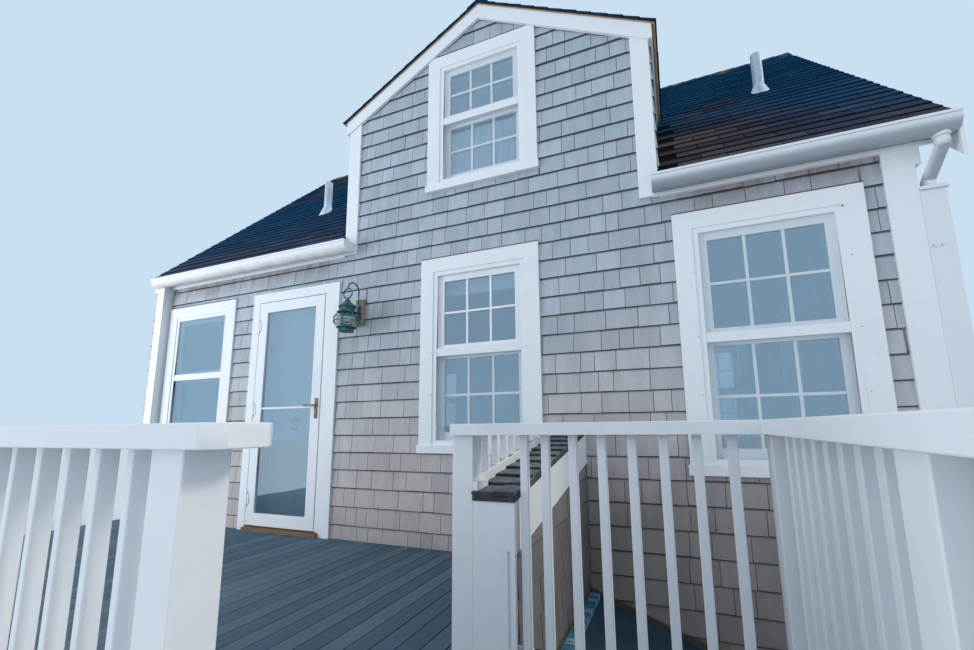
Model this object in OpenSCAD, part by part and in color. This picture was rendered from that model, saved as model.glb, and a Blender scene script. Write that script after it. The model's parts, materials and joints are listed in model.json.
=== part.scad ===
// A shingled beach house at the free end of a row: a timber-frame cottage with a wall dormer,
// a raised deck, a side landing above a stair well, and a low shingled knee wall beside the well.
// X runs along the front from the party wall to the free gable, Y runs into the house, Z is up.
// Modules draw with y = 0 on the front sheathing; place() moves them so that the origin lies under
// the middle of the front foundation wall, on the ground.

/* [House] */
// Width from the party wall's outer face to the free gable's sheathing
house_w = 6660; // [6400:10:7800]
// Depth from the front sheathing to the rear sheathing
house_d = 5100; // [4600:10:6200]
// Thickness of the timber frame walls
wall_t = 150; // [110:5:200]
// Thickness of the foundation walls
foundation_t = 200; // [160:10:300]
// Height of the foundation above the ground
foundation_h = 250; // [150:10:450]
// Height of the ground floor and the deck above the ground
deck_z = 950; // [800:10:1100]
// Thickness of the ground floor
ground_floor_t = 220; // [150:10:300]
// Height of the upper floor above the ground floor
storey_h = 2455; // [2360:5:2560]
// Thickness of the upper floor
upper_floor_t = 190; // [150:10:240]

/* [Main roof] */
// Height of the roof's top face over the front sheathing, above the deck
roof_wall_h = 2620; // [2580:5:2800]
// Pitch of the main roof in degrees
roof_pitch = 45.5; // [42:0.5:48]
// Thickness of rafters and boarding, square to the slope
roof_t = 140; // [110:5:160]
// Thickness of the projecting roof edge, square to the slope
roof_edge_t = 35; // [25:1:45]
// Projection of the roof edge past the front and rear sheathing
eave_over = 70; // [40:5:90]
// Projection of the roof past the free gable
rake_over = 180; // [110:5:220]
// Depth of the gable's rake boards, square to the slope
rake_board_h = 128; // [110:1:220]
// Upright depth of the frieze board from the roof's top face over the sheathing
frieze_drop = 217; // [190:1:230]
// Half width of the ridge cap, measured down the slope
ridge_cap_w = 120; // [90:5:160]
// Thickness of the ridge cap
ridge_cap_t = 16; // [10:1:24]

/* [Dormer] */
// Distance from the free gable to the dormer's nearer side
dormer_from_gable = 1335; // [1200:5:1600]
// Width of the dormer over its side walls
dormer_w = 2655; // [2400:5:2900]
// Height of the dormer roof's top face at its ridge, above the deck
dormer_ridge_h = 4470; // [4420:5:4560]
// Pitch of the dormer roof in degrees
dormer_pitch = 28.3; // [26:0.1:30]
// Thickness of the dormer roof, square to the slope
dormer_roof_t = 98; // [80:1:130]
// Upright thickness of the dormer roof's projecting edge
dormer_edge_v = 15; // [12:1:35]
// Projection of the dormer roof past its side walls
dormer_side_over = 55; // [30:5:90]
// Projection of the dormer roof past its front
dormer_front_over = 50; // [45:1:80]
// Upright depth of the dormer's rake boards
dormer_rake_v = 130; // [90:5:150]
// Thickness of the dormer's side walls
cheek_t = 120; // [90:5:150]
// Width of the dormer's upright corner boards
dormer_board_w = 127; // [90:1:140]
// Thickness of the boards under the dormer's side eaves
dormer_fascia_t = 30; // [20:1:45]
// Drop of the dormer's corner boards below the main roof's top face at the front wall
dormer_board_drop = 203; // [80:1:210]

/* [Windows and doors] */
// Height of the tall windows over their casings
window_h = 1549; // [1450:1:1600]
// Width of the tall windows over their casings
window_w = 998; // [900:1:1060]
// Height of the window by the party wall over its casing
party_window_h = 1504; // [1400:1:1560]
// Gap from the party wall's outer face to the nearest window casing
party_window_gap = 320; // [290:5:420]
// Height of that window's casing top above the deck
party_window_top = 2181; // [2150:1:2200]
// Gap from the middle window's casing to the free gable
middle_window_from_gable = 2190; // [2100:5:2400]
// Height of the middle window's casing top above the deck
middle_window_top = 2242; // [2200:1:2260]
// Gap from the gable-end window's casing to the free gable
end_window_from_gable = 240; // [220:1:300]
// Width of the gable-end window over its casing
end_window_w = 1030; // [940:1:1080]
// Height of the gable-end window over its casing
end_window_h = 1671; // [1560:1:1700]
// Height of the gable-end window's casing top above the deck
end_window_top = 2256; // [2200:1:2265]
// Width of the dormer window over its casing
dormer_window_w = 971; // [880:1:1040]
// Height of the dormer window over its casing
dormer_window_h = 1262; // [1150:1:1300]
// Distance from the dormer's ridge down to the bottom of its window's casing
dormer_window_drop = 1641; // [1600:1:1670]
// Width of the flat window casings
casing_w = 115; // [90:1:130]
// Width of the corner boards on the front and the rear
corner_board_w = 145; // [110:5:160]
// Width of the corner boards on the gable, from the front board's face
side_board_w = 118; // [90:1:150]
// Drop of the front one below the main roof's top face at the front wall
side_board_drop = 315; // [220:5:450]
// How far the casings stand out of the sheathing
casing_t = 28; // [22:1:36]
// Thickness of the window boxes and door jambs
jamb_t = 20; // [16:1:28]
// Height of the window sills
sill_h = 62; // [45:1:75]
// Projection of the sills past the casings
sill_nose = 14; // [8:1:25]
// Width of the storm window frames
storm_w = 34; // [26:1:42]
// Height of the storm windows' meeting bars
storm_bar_h = 62; // [40:1:70]
// Width of the sash stiles and rails
sash_w = 50; // [40:1:60]
// Thickness of one sash
sash_t = 32; // [26:1:36]
// Thickness of the glass panes
glass_t = 5; // [4:1:8]
// Distance from the party wall's outer face to the storm door's hinge edge
door_from_party = 1672; // [1640:1:1760]
// Width of the storm door
storm_door_w = 797; // [740:1:860]
// Height of the storm door
storm_door_h = 2040; // [1980:1:2060]
// Thickness of the storm door
storm_door_t = 32; // [26:1:38]
// Width of the storm door's stiles and top rail
storm_stile_w = 100; // [80:1:120]
// Height of the storm door's bottom rail
storm_bottom_h = 105; // [90:1:200]
// Height of the storm door's bar above its bottom edge
storm_bar_z = 1022; // [900:1:1150]
// Height of the storm door's bar
storm_door_bar_h = 18; // [14:1:30]
// Gap around the moving doors
door_gap = 6; // [5:0.5:9]
// Width of the door casing on the hinge side and over the door
door_casing_w = 88; // [70:1:110]
// Width of the door casing on the latch side
latch_casing_w = 112; // [90:1:130]
// Width of the storm door's closing strip on the latch side
latch_strip_w = 41; // [25:1:55]
// Thickness of the entry door
entry_door_t = 44; // [38:1:50]
// Height of the threshold above the deck
threshold_h = 40; // [30:1:60]

/* [Gutters and pipes] */
// Width of the gutters
gutter_w = 150; // [110:1:160]
// Height of the gutters
gutter_h = 92; // [80:1:130]
// Height of the gutters' back walls
gutter_back_h = 63; // [50:1:75]
// Radius of the gutters' round bellies
gutter_r = 62; // [50:1:70]
// Drop from the roof's drip edge to the gutter's lip
gutter_drop = 1; // [1:1:40]
// Wall thickness of the gutters
gutter_t = 4; // [3:0.5:6]
// Length of the gutters in front of the dormer's corner boards, left and right
gutter_lap = [120, 40]; // [20:5:140]
// Width of the party-side boxed downspout
box_w = 107; // [90:1:130]
// Depth of the party-side boxed downspout
box_d = 100; // [80:1:110]
// Distance from the party wall's outer face to that downspout
box_from_party = 183; // [150:1:200]
// Width of the boxed chase on the free gable
chase_w = 113; // [100:1:140]
// Depth of the boxed chase on the free gable
chase_d = 108; // [90:1:130]
// Height of the boxed chase above the deck
chase_h = 2145; // [2000:5:2200]
// Diameter of the round outlet pipe
outlet_d = 64; // [50:1:76]
// Diameter of the vent pipes
vent_d = 90; // [80:1:130]
// Height of the vent pipes above the roof at their centres
vent_h = 370; // [250:10:500]
// Wall thickness of the vent pipes
vent_t = 6; // [4:1:10]
// Distance from the party wall's outer face to the left vent pipe
vent_from_party = 1600; // [1500:10:1900]
// Distance of the left vent pipe behind the front sheathing
left_vent_y = 830; // [700:10:1000]
// Distance from the free gable to the right vent pipe
vent_from_gable = 420; // [380:10:600]
// Distance of the right vent pipe behind the front sheathing
right_vent_y = 1275; // [1100:5:1500]
// Width of the flashing collars around the vent pipes
collar_w = 60; // [40:5:120]
// Height of the flashing collars
collar_h = 55; // [40:5:80]

/* [Deck and railings] */
// Depth of the deck in front of the house
deck_d = 2490; // [2200:10:2800]
// Width of the stair well between the house and the landing
well_w = 1312; // [1200:4:1500]
// Length of the landing from the well
landing_d = 1988; // [1700:4:2400]
// Distance from the free gable to the landing's outer posts
landing_from_gable = 970; // [900:1:1060]
// Distance from the free gable to the knee wall
knee_from_gable = 1918; // [1800:1:2000]
// Thickness of the knee wall
knee_w = 150; // [120:1:180]
// Thickness of the deck boards
deck_board_t = 28; // [24:1:38]
// Height of the deck joists
joist_h = 184; // [140:2:230]
// Thickness of the deck joists
joist_t = 38; // [30:1:50]
// Side of the railing posts
post_w = 88; // [80:1:100]
// Height of the rail caps above the deck
rail_h = 900; // [840:2:940]
// Width of the rail caps
cap_w = 140; // [120:1:160]
// Thickness of the rail caps
cap_t = 44; // [34:1:52]
// Side of the square balusters beside the well
baluster_w = 30; // [26:1:38]
// Distance between the balusters beside the well
baluster_pitch = 104; // [95:1:115]
// Width of the balusters along the deck's front
deck_baluster_w = 21; // [18:1:40]
// Depth of the balusters along the deck's front
deck_baluster_d = 35; // [26:1:40]
// Distance between the balusters along the deck's front
deck_baluster_pitch = 107; // [95:1:120]
// Distance between the balusters along the landing's outer edge
side_baluster_pitch = 93; // [85:1:115]
// Length of the bay beside the well along the landing's outer edge
side_bay = 832; // [700:2:1000]
// Height of the bottom rails above the deck
bottom_rail_z = 40; // [30:1:80]
// Height of the bottom rails
bottom_rail_h = 60; // [40:1:70]
// Thickness of the bottom rails
bottom_rail_t = 40; // [34:1:50]
// Distance of the deck railing's middle from the deck's front edge
rail_inset = 66; // [50:1:90]
// Length of the rail caps past their last posts
cap_over = 25; // [20:1:40]
// Length of the deck railing's cap past its end post
deck_cap_over = 100; // [50:5:120]
// Number of bays in the long deck railing
deck_bays = 3; // [2:1:6]
// Height of the knee wall's roof above the deck at its outer end
knee_h = 635; // [560:1:680]
// Height of the knee wall's roof above the deck at the house
knee_wall_h = 858; // [840:2:900]
// Thickness of the knee wall's roof
knee_roof_t = 24; // [18:1:32]
// Height of the board along the foot of the short balustrade
skirt_h = 46; // [30:1:90]
// Height of the cellar hatch above the ground at the knee wall
hatch_z = 793; // [700:1:850]
// Length of the cellar hatch from the knee wall
hatch_l = 1500; // [1300:10:1800]
// Pitch of the cellar hatch
hatch_pitch = 19.4; // [10:0.1:30]
// Thickness of the cellar hatch
hatch_t = 40; // [30:1:60]

/* [Lantern] */
// Place of the lantern between the door casing and the middle window's casing, as a share
lantern_share = 0.286; // [0.26:0.002:0.5]
// Height of the lantern's mounting block's middle above the deck
lantern_h = 1865; // [1700:5:1900]
// Distance of the lantern's middle from the sheathing
lantern_out = 190; // [160:1:230]
// Radius of the lantern's glass globe
globe_r = 82; // [72:1:90]

/* [Hidden] */
$fn = 48;

hw = house_w / 2;
ridge_y = house_d / 2;
floor_z = deck_z + threshold_h;
upper_z = deck_z + storey_h;
roof_wall_z = deck_z + roof_wall_h;
roof_v = roof_t / cos(roof_pitch);
edge_v = roof_edge_t / cos(roof_pitch);
ridge_z = roof_top(ridge_y);
rake_board_t = 20;
rake_board_x = hw + rake_over - rake_board_t - 2;
frieze_z = roof_wall_z - frieze_drop;
fascia_t = casing_t;

dormer_r = hw - dormer_from_gable;
dormer_l = dormer_r - dormer_w;
dormer_x = dormer_r - dormer_w / 2;
dormer_ridge_z = deck_z + dormer_ridge_h;
dormer_v = dormer_roof_t / cos(dormer_pitch);
dormer_half = dormer_w / 2 + dormer_side_over;
dormer_wall_top = dormer_under(dormer_w / 2);
dormer_back_y = (dormer_wall_top - roof_wall_z) / tan(roof_pitch);
dormer_far_y = (dormer_ridge_z - roof_wall_z) / tan(roof_pitch) + roof_t;
rake_gap = 14;
// Clearance between pieces that are laid on each other
seat = 0.2;
dormer_rake_t = 26;

// A window is [middle in x, bottom of its casing, width and height over its casing]
party_window_at = [-hw + party_window_gap + window_w / 2,
    deck_z + party_window_top - party_window_h, window_w, party_window_h];
middle_window_at = [hw - middle_window_from_gable - window_w / 2,
    deck_z + middle_window_top - window_h, window_w, window_h];
end_window_at = [hw - end_window_from_gable - end_window_w / 2,
    deck_z + end_window_top - end_window_h, end_window_w, end_window_h];
dormer_window_at = [dormer_x, dormer_ridge_z - dormer_window_drop, dormer_window_w, dormer_window_h];
// Windows of the free gable, with the middle given along the depth of the house
gable_windows_at = [
    [ridge_y, middle_window_at[1], window_w, window_h],
    [ridge_y, dormer_window_at[1], dormer_window_w, dormer_window_h]
];
rear_windows_at = [party_window_at, middle_window_at, end_window_at];
front_windows_at = concat(rear_windows_at, [dormer_window_at]);

leaf_x = -hw + door_from_party;
leaf_r = leaf_x + storm_door_w;
leaf_z = deck_z + threshold_h + door_gap;
door_l = leaf_x - door_gap;
latch_gap = door_gap + 1;
door_r = leaf_r + latch_gap + latch_strip_w;
door_top = leaf_z + storm_door_h + door_gap;
door_casing_r = door_r + latch_casing_w;
hinge_r = 5;
hinge_off = hinge_r + 0.5;
storm_hinge_x = leaf_x + 7;
storm_hinge_y = -casing_t - hinge_off;
hinges_z = [leaf_z + 180, leaf_z + storm_door_h / 2 - 45, leaf_z + storm_door_h - 270];
entry_y = 90;
entry_l = door_l + door_gap;
entry_r = door_r - door_gap - 2;
entry_hinge_x = entry_l + 7;
entry_hinge_y = entry_y + entry_door_t + hinge_off;

gutter_z = roof_top(-eave_over) - edge_v - gutter_drop;
gutter_front = -fascia_t - gutter_w;
box_x = -hw + box_from_party;
chase_top = deck_z + chase_h;
vents_at = [[-hw + vent_from_party, left_vent_y], [hw - vent_from_gable, right_vent_y]];

cap_top = deck_z + rail_h;
cap_z = cap_top - cap_t;
knee_r = hw - knee_from_gable;
knee_l = knee_r - knee_w;
post_x = knee_l - post_w;
landing_r = hw - landing_from_gable;
well_y = -well_w;
landing_y = well_y - landing_d;
landing_lap = 32;
landing_l = post_x - landing_lap;
deck_rail_y = -deck_d + rail_inset;
joist_z = deck_z - deck_board_t - joist_h;
skirt_t = 19;
bay_w = (landing_l + post_w / 2 + hw - post_w / 2) / deck_bays;

rail_y = well_y - post_w / 2;
knee_front = rail_y - post_w / 2;
knee_slope = (knee_wall_h - knee_h) / -knee_front;
knee_board_h = 190;
knee_board_t = 20;
knee_roof_r = knee_r + knee_board_t + 2;
knee_roof_front = knee_front - 4;
knee_foot_z = knee_top(knee_front) + skirt_h;

lantern_x = door_casing_r
    + lantern_share * (middle_window_at[0] - window_w / 2 - door_casing_r);
lantern_z = deck_z + lantern_h;

// Height of the main roof's top face at a distance behind the front sheathing
function roof_top(y) = roof_wall_z + y * tan(roof_pitch);
function roof_under(y) = roof_top(y) - roof_v;
// Heights of the dormer roof at a distance from its middle
function dormer_top(dx) = dormer_ridge_z - dx * tan(dormer_pitch);
function dormer_under(dx) = dormer_top(dx) - dormer_v;
// Height of the knee wall's roof at a y in front of the house
function knee_top(y) = deck_z + knee_wall_h + y * knee_slope;
// Points of an arc about a centre
function arc(cx, cy, r, a0, a1, n = 12) =
    [for (i = [0 : n]) let (a = a0 + (a1 - a0) * i / n) [cx + r * cos(a), cy + r * sin(a)]];

module place() {
    translate([0, -foundation_t / 2, 0]) children();
}

module box(x, y, z) {
    translate([x[0], y[0], z[0]]) cube([x[1] - x[0], y[1] - y[0], z[1] - z[0]]);
}

// Extrudes an outline drawn in y and z along x
module along_x(x0, x1) {
    translate([x0, 0, 0]) rotate([90, 0, 90]) linear_extrude(x1 - x0) children();
}

// Extrudes an outline drawn in x and z along y
module along_y(y0, y1) {
    translate([0, y1, 0]) rotate([90, 0, 0]) linear_extrude(y1 - y0) children();
}

// Turns what is drawn for the front to the rear of the house
module to_rear() {
    translate([0, house_d, 0]) mirror([0, 1, 0]) children();
}

// Turns what is drawn for the front to the free gable, x becoming the depth
module to_gable() {
    translate([hw, 0, 0]) rotate([0, 0, 90]) children();
}

// Everything below the main roof's front slope, over the whole width
module below_front_slope(v = 0) {
    along_x(-2 * hw, 2 * hw)
        polygon([[-5 * eave_over, 0], [-5 * eave_over, roof_top(-5 * eave_over) - v],
            [ridge_y + 400, roof_top(ridge_y + 400) - v], [ridge_y + 400, 0]]);
}

// House walls and floors

module foundation() {
    color("silver") difference() {
        box([-hw, hw], [0, house_d], [0, foundation_h]);
        box([-hw + foundation_t, hw - foundation_t], [foundation_t, house_d - foundation_t],
            [-1, foundation_h + 1]);
    }
}

module ground_floor() {
    color("tan") box([-hw + wall_t, hw - wall_t], [wall_t, house_d - wall_t],
        [floor_z - ground_floor_t, floor_z]);
}

module upper_floor() {
    color("tan") box([-hw + wall_t, hw - wall_t], [wall_t, house_d - wall_t],
        [upper_z - upper_floor_t, upper_z]);
}

// A hole for a window's box through a wall drawn at the front
module window_hole(at) {
    half = at[2] / 2 - casing_w + jamb_t;
    box([at[0] - half, at[0] + half], [-1, wall_t + 1],
        [at[1] + sill_h, at[1] + at[3] - casing_w + jamb_t]);
}

// A stretch of front wall with its top cut to the rafters
module eaves_wall(x0, x1, z0) {
    along_x(x0, x1) polygon([[0, z0], [wall_t, z0], [wall_t, roof_under(wall_t)], [0, roof_under(0)]]);
}

module front_wall_base() {
    color("darkgray") box([-hw, hw], [0, wall_t], [foundation_h, deck_z]);
}

module front_wall_left() {
    color("darkgray") difference() {
        eaves_wall(-hw, door_l - jamb_t, deck_z);
        window_hole(party_window_at);
    }
}

module front_wall_over_door() {
    color("darkgray") eaves_wall(door_l - jamb_t, door_r + jamb_t, door_top + jamb_t);
}

module front_wall_right() {
    color("darkgray") difference() {
        eaves_wall(door_r + jamb_t, hw, deck_z);
        window_hole(middle_window_at);
        window_hole(end_window_at);
    }
}

// Outline in x and z of the space under the dormer roof
module dormer_gable_outline() {
    polygon([[dormer_l, roof_under(0) - 10], [dormer_r, roof_under(0) - 10],
        [dormer_r, dormer_wall_top], [dormer_x, dormer_under(0)], [dormer_l, dormer_wall_top]]);
}

module dormer_front_wall() {
    color("darkgray") difference() {
        along_y(0, wall_t) dormer_gable_outline();
        below_front_slope(roof_v);
        window_hole(dormer_window_at);
    }
}

module dormer_side_walls() {
    color("darkgray") intersection() {
        along_y(wall_t, dormer_back_y - seat) dormer_gable_outline();
        difference() {
            union() {
                box([dormer_l + seat, dormer_l + cheek_t], [0, ridge_y], [0, ridge_z]);
                box([dormer_r - cheek_t, dormer_r - seat], [0, ridge_y], [0, ridge_z]);
            }
            below_front_slope(roof_v);
        }
    }
}

// Outline in y and z of a whole end wall, between the front and rear walls
module end_wall_outline() {
    polygon([[wall_t, foundation_h], [house_d - wall_t, foundation_h],
        [house_d - wall_t, roof_under(wall_t)], [ridge_y, roof_under(ridge_y)],
        [wall_t, roof_under(wall_t)]]);
}

module gable_wall() {
    color("darkgray") difference() {
        along_x(hw - wall_t, hw) end_wall_outline();
        to_gable() for (at = gable_windows_at) window_hole(at);
    }
}

module party_wall() {
    color("gainsboro") along_x(-hw, -hw + wall_t) end_wall_outline();
}

module rear_wall() {
    color("darkgray") difference() {
        to_rear() eaves_wall(-hw, hw, foundation_h);
        to_rear() for (at = rear_windows_at) window_hole(at);
    }
}

// Roofs

// Outline in y and z of the main roof's front slope, from a start at or in front of y0
module slope_outline(y0, v) {
    polygon([[y0, roof_top(y0)], [ridge_y, ridge_z], [ridge_y, ridge_z - v], [y0, roof_top(y0) - v]]);
}

module front_slope(x0, x1) {
    along_x(x0, x1) slope_outline(0, roof_v);
    along_x(x0, x1) slope_outline(-eave_over, edge_v);
}

module slope_with_rake() {
    front_slope(-hw, rake_board_x);
    along_x(rake_board_x, hw + rake_over) slope_outline(-eave_over, edge_v);
}

module front_roof() {
    color("dimgray") difference() {
        slope_with_rake();
        box([dormer_l, dormer_r], [-2 * eave_over, dormer_back_y], [0, ridge_z]);
    }
}

module rear_roof() {
    color("dimgray") to_rear() slope_with_rake();
}

// Outline in x and z of a layer of the dormer roof, between two upright distances below its top
module dormer_layer(v0, v1, half) {
    polygon([[dormer_x - half, dormer_top(half) - v0], [dormer_x, dormer_ridge_z - v0],
        [dormer_x + half, dormer_top(half) - v0], [dormer_x + half, dormer_top(half) - v1],
        [dormer_x, dormer_ridge_z - v1], [dormer_x - half, dormer_top(half) - v1]]);
}

module dormer_roof() {
    color("dimgray") difference() {
        union() {
            along_y(-rake_gap, dormer_far_y) dormer_layer(0, dormer_v, dormer_w / 2);
            along_y(-dormer_front_over, dormer_far_y) dormer_layer(0, dormer_edge_v, dormer_half);
        }
        below_front_slope(-seat);
    }
}

module ridge_cap() {
    dy = ridge_cap_w * cos(roof_pitch);
    v = ridge_cap_t / cos(roof_pitch);
    color("dimgray") along_x(-hw, hw + rake_over)
        polygon([[ridge_y - dy, roof_top(ridge_y - dy)], [ridge_y, ridge_z],
            [ridge_y + dy, roof_top(ridge_y - dy)], [ridge_y + dy, roof_top(ridge_y - dy) + v],
            [ridge_y, ridge_z + v], [ridge_y - dy, roof_top(ridge_y - dy) + v]]);
}

// White boards

// A fascia board with the frieze under it, against the sheathing at the eaves
module eave_board(x0, x1) {
    along_x(x0, x1) polygon([[-fascia_t, frieze_z], [0, frieze_z], [0, roof_top(0) - edge_v - seat],
        [-fascia_t, roof_top(-fascia_t) - edge_v - seat]]);
}

module rake_board() {
    v = rake_board_h / cos(roof_pitch);
    y0 = -fascia_t - 100;
    along_x(rake_board_x, rake_board_x + rake_board_t)
        polygon([[y0, roof_top(y0) - edge_v - seat], [ridge_y, ridge_z - edge_v - seat],
            [ridge_y, ridge_z - edge_v - v], [y0, roof_top(y0) - edge_v - v]]);
}

// Boards at the eaves, left and right of the dormer and at the rear, and up the gable's rakes
module roof_boards() {
    color("white") {
        eave_board(-hw, dormer_l);
        eave_board(dormer_r, hw);
        to_rear() eave_board(-hw, hw);
        rake_board();
        to_rear() rake_board();
        // Moulding under the gutter beside the free gable
        difference() {
            box([dormer_r - gutter_lap[1], rake_board_x - seat], [-fascia_t - 12, -fascia_t],
                [frieze_z, gutter_z]);
            gutter_room();
        }
    }
}

// One upright board on the front beside a corner, and one on the gable next to it
module corner_pair(side_z) {
    box([hw - corner_board_w, hw], [-casing_t, 0], [foundation_h, frieze_z]);
    box([hw, hw + casing_t], [-casing_t, side_board_w - casing_t], [side_z, roof_under(0) - 2]);
}

module corner_boards() {
    color("white") {
        corner_pair(roof_wall_z - side_board_drop);
        to_rear() corner_pair(foundation_h);
    }
}

// Rake boards under the dormer's roof edge, grown by a clearance
module dormer_rakes(gap = 0) {
    along_y(-rake_gap - dormer_rake_t - gap, -rake_gap + gap)
        dormer_layer(dormer_edge_v + seat, dormer_edge_v + dormer_rake_v + gap, dormer_w / 2);
}

// Boards of one side of the dormer, drawn for the side towards higher x
module dormer_side_boards() {
    x = dormer_x + dormer_w / 2;
    front = -rake_gap - dormer_rake_t;
    eave_bottom = dormer_top(dormer_w / 2) - dormer_edge_v - dormer_rake_v;
    foot = roof_wall_z - dormer_board_drop;
    lap = 15;
    // Upright board on the front, behind the rake board
    along_y(-casing_t, 0) polygon([[x, foot], [x - dormer_board_w, foot],
        [x - dormer_board_w, eave_bottom + lap + dormer_board_w * tan(dormer_pitch)],
        [x, eave_bottom + lap]]);
    // Board under the side eave
    difference() {
        along_y(front, dormer_far_y) polygon([[x, eave_bottom], [x + dormer_fascia_t, eave_bottom],
            [x + dormer_fascia_t, dormer_top(dormer_w / 2 + dormer_fascia_t) - dormer_edge_v - seat],
            [x, dormer_top(dormer_w / 2) - dormer_edge_v - seat]]);
        below_front_slope(-seat);
    }
}

module dormer_boards() {
    color("white") {
        dormer_rakes();
        dormer_side_boards();
        translate([2 * dormer_x, 0, 0]) mirror([1, 0, 0]) dormer_side_boards();
    }
}

// Gutters, downspouts and vents

// Outline of a gutter's outside, with a round belly, shrunk by a wall thickness
module gutter_outline(t = 0) {
    top = gutter_z + (t > 0 ? 20 : 0);
    polygon(concat(
        [[-fascia_t - t, top], [-fascia_t - t, gutter_z - gutter_back_h + t]],
        arc(gutter_front + gutter_r, gutter_z - gutter_h + gutter_r, gutter_r - t, -50, -180),
        [[gutter_front + t, top]]));
}

// Space of a front gutter with a clearance around it
module gutter_room() {
    along_x(-2 * hw, 2 * hw) gutter_outline(-seat);
}

// A gutter open at the top, with closed ends and a thicker lip
module gutter(x0, x1) {
    difference() {
        union() {
            along_x(x0, x1) gutter_outline();
            box([x0, x1], [gutter_front - 5, gutter_front + 6], [gutter_z - 16, gutter_z]);
        }
        along_x(x0 + gutter_t, x1 - gutter_t) gutter_outline(gutter_t);
    }
}

// Two at the front beside the dormer, and one along the rear
module gutters() {
    color("white") {
        gutter(box_x, dormer_l + gutter_lap[0]);
        gutter(dormer_r - gutter_lap[1], rake_board_x - seat);
        to_rear() gutter(-hw, rake_board_x - seat);
    }
}

// An outlet pipe that bends back and down into a boxed chase beside the corner
module chase_and_pipe() {
    r = outlet_d / 2;
    socket_r = r + 2;
    top = gutter_z - gutter_h;
    cap = chase_top + 20;
    out = [hw + 93, gutter_front + gutter_w / 2, top - 50];
    in = [hw + casing_t + r + 6, chase_d / 2 - casing_t, cap + 50];
    box([hw, hw + chase_w], [-casing_t, chase_d - casing_t], [0, chase_top]);
    box([hw, hw + chase_w + 10], [-casing_t - 10, chase_d - casing_t + 10], [chase_top, cap]);
    difference() {
        union() {
            translate(out) cylinder(r = socket_r, h = 50 + r);
            translate([out[0], out[1], top - 14]) cylinder(r = r + 8, h = 14 + r);
        }
        gutter_room();
    }
    hull() {
        translate(out) sphere(r = r, $fn = 32);
        translate(in) sphere(r = r, $fn = 32);
    }
    translate([in[0], in[1], cap]) cylinder(r = socket_r, h = in[2] - cap);
}

// A square box under a gutter, from a left edge and a foot
module box_downspout(x0, z0) {
    x = [x0, x0 + box_w];
    difference() {
        union() {
            box(x, [-box_d, 0], [z0, frieze_z - seat]);
            box(x, [-box_d, -fascia_t - seat], [z0, gutter_z]);
        }
        gutter_room();
    }
}

// The chase at the free corner, and square boxes by the party wall at the front and the rear
module downspouts() {
    color("white") {
        chase_and_pipe();
        box_downspout(box_x, deck_z);
        to_rear() box_downspout(-hw + 40, 0);
    }
}

module vent_pipes() {
    color("whitesmoke") for (at = vents_at) difference() {
        translate([at[0], at[1], roof_top(at[1]) - vent_d]) {
            cylinder(d = vent_d, h = vent_d + vent_h);
            cylinder(d1 = vent_d + 2 * collar_w, d2 = vent_d, h = vent_d + collar_h);
        }
        // The open end of the pipe
        translate([at[0], at[1], roof_top(at[1]) + vent_h - 1.3 * vent_d])
            cylinder(d = vent_d - 2 * vent_t, h = 2 * vent_d);
        below_front_slope(-seat);
    }
}

// Windows

// A ring between two rectangles that share a middle, drawn in x and z
module ring(x, z, w) {
    difference() {
        translate([x[0], z[0]]) square([x[1] - x[0], z[1] - z[0]]);
        translate([x[0] + w, z[0] + w]) square([x[1] - x[0] - 2 * w, z[1] - z[0] - 2 * w]);
    }
}

// Inside edges of a window's casing: left, right, bottom, top
function inside(at) = [at[0] - at[2] / 2 + casing_w, at[0] + at[2] / 2 - casing_w,
    at[1] + sill_h, at[1] + at[3] - casing_w];
// Height of the meeting rails
function meeting_z(at) = (inside(at)[2] + inside(at)[3] + sash_w) / 2;

module window(at) {
    e = inside(at);
    half = at[2] / 2;
    mz = meeting_z(at);
    // Flat casing with the sill under it
    along_y(-casing_t, 0) difference() {
        translate([at[0] - half, at[1] + sill_h]) square([at[2], at[3] - sill_h]);
        translate([e[0], e[2] - 1]) square([e[1] - e[0], e[3] - e[2] + 1]);
    }
    box([at[0] - half - 10, at[0] + half + 10], [-casing_t - sill_nose, 0], [at[1], at[1] + sill_h]);
    // Box through the wall
    along_y(0, wall_t) difference() {
        translate([e[0] - jamb_t, e[2]]) square([e[1] - e[0] + 2 * jamb_t, e[3] - e[2] + jamb_t]);
        translate([e[0], e[2] + jamb_t]) square([e[1] - e[0], e[3] - e[2] - jamb_t]);
    }
    // Storm window frame with its meeting bar
    along_y(-casing_t + 8, 6) ring([e[0], e[1]], [e[2], e[3]], storm_w);
    box([e[0] + storm_w, e[1] - storm_w], [-casing_t + 12, 6],
        [mz - storm_bar_h / 2, mz + storm_bar_h / 2]);
    // Upper sash in front of the lower sash
    along_y(6, 6 + sash_t) ring([e[0], e[1]], [mz - sash_w / 2, e[3]], storm_w + sash_w);
    along_y(6 + sash_t, 6 + 2 * sash_t)
        ring([e[0], e[1]], [e[2] + jamb_t, mz + sash_w / 2], storm_w + sash_w - 10);
}

// Panes of one window: upper sash, lower sash and the storm pane in front of the lower sash
module window_panes(at) {
    e = inside(at);
    mz = meeting_z(at);
    inset = storm_w + sash_w;
    box([e[0] + inset, e[1] - inset], [6 + (sash_t - glass_t) / 2, 6 + (sash_t + glass_t) / 2],
        [mz - sash_w / 2 + inset, e[3] - inset]);
    box([e[0] + inset - 10, e[1] - inset + 10],
        [6 + sash_t + (sash_t - glass_t) / 2, 6 + sash_t + (sash_t + glass_t) / 2],
        [e[2] + jamb_t + inset - 10, mz + sash_w / 2 - inset + 10]);
    box([e[0] + storm_w, e[1] - storm_w], [-8, -8 + glass_t],
        [e[2] + storm_w, mz - storm_bar_h / 2]);
}

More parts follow.
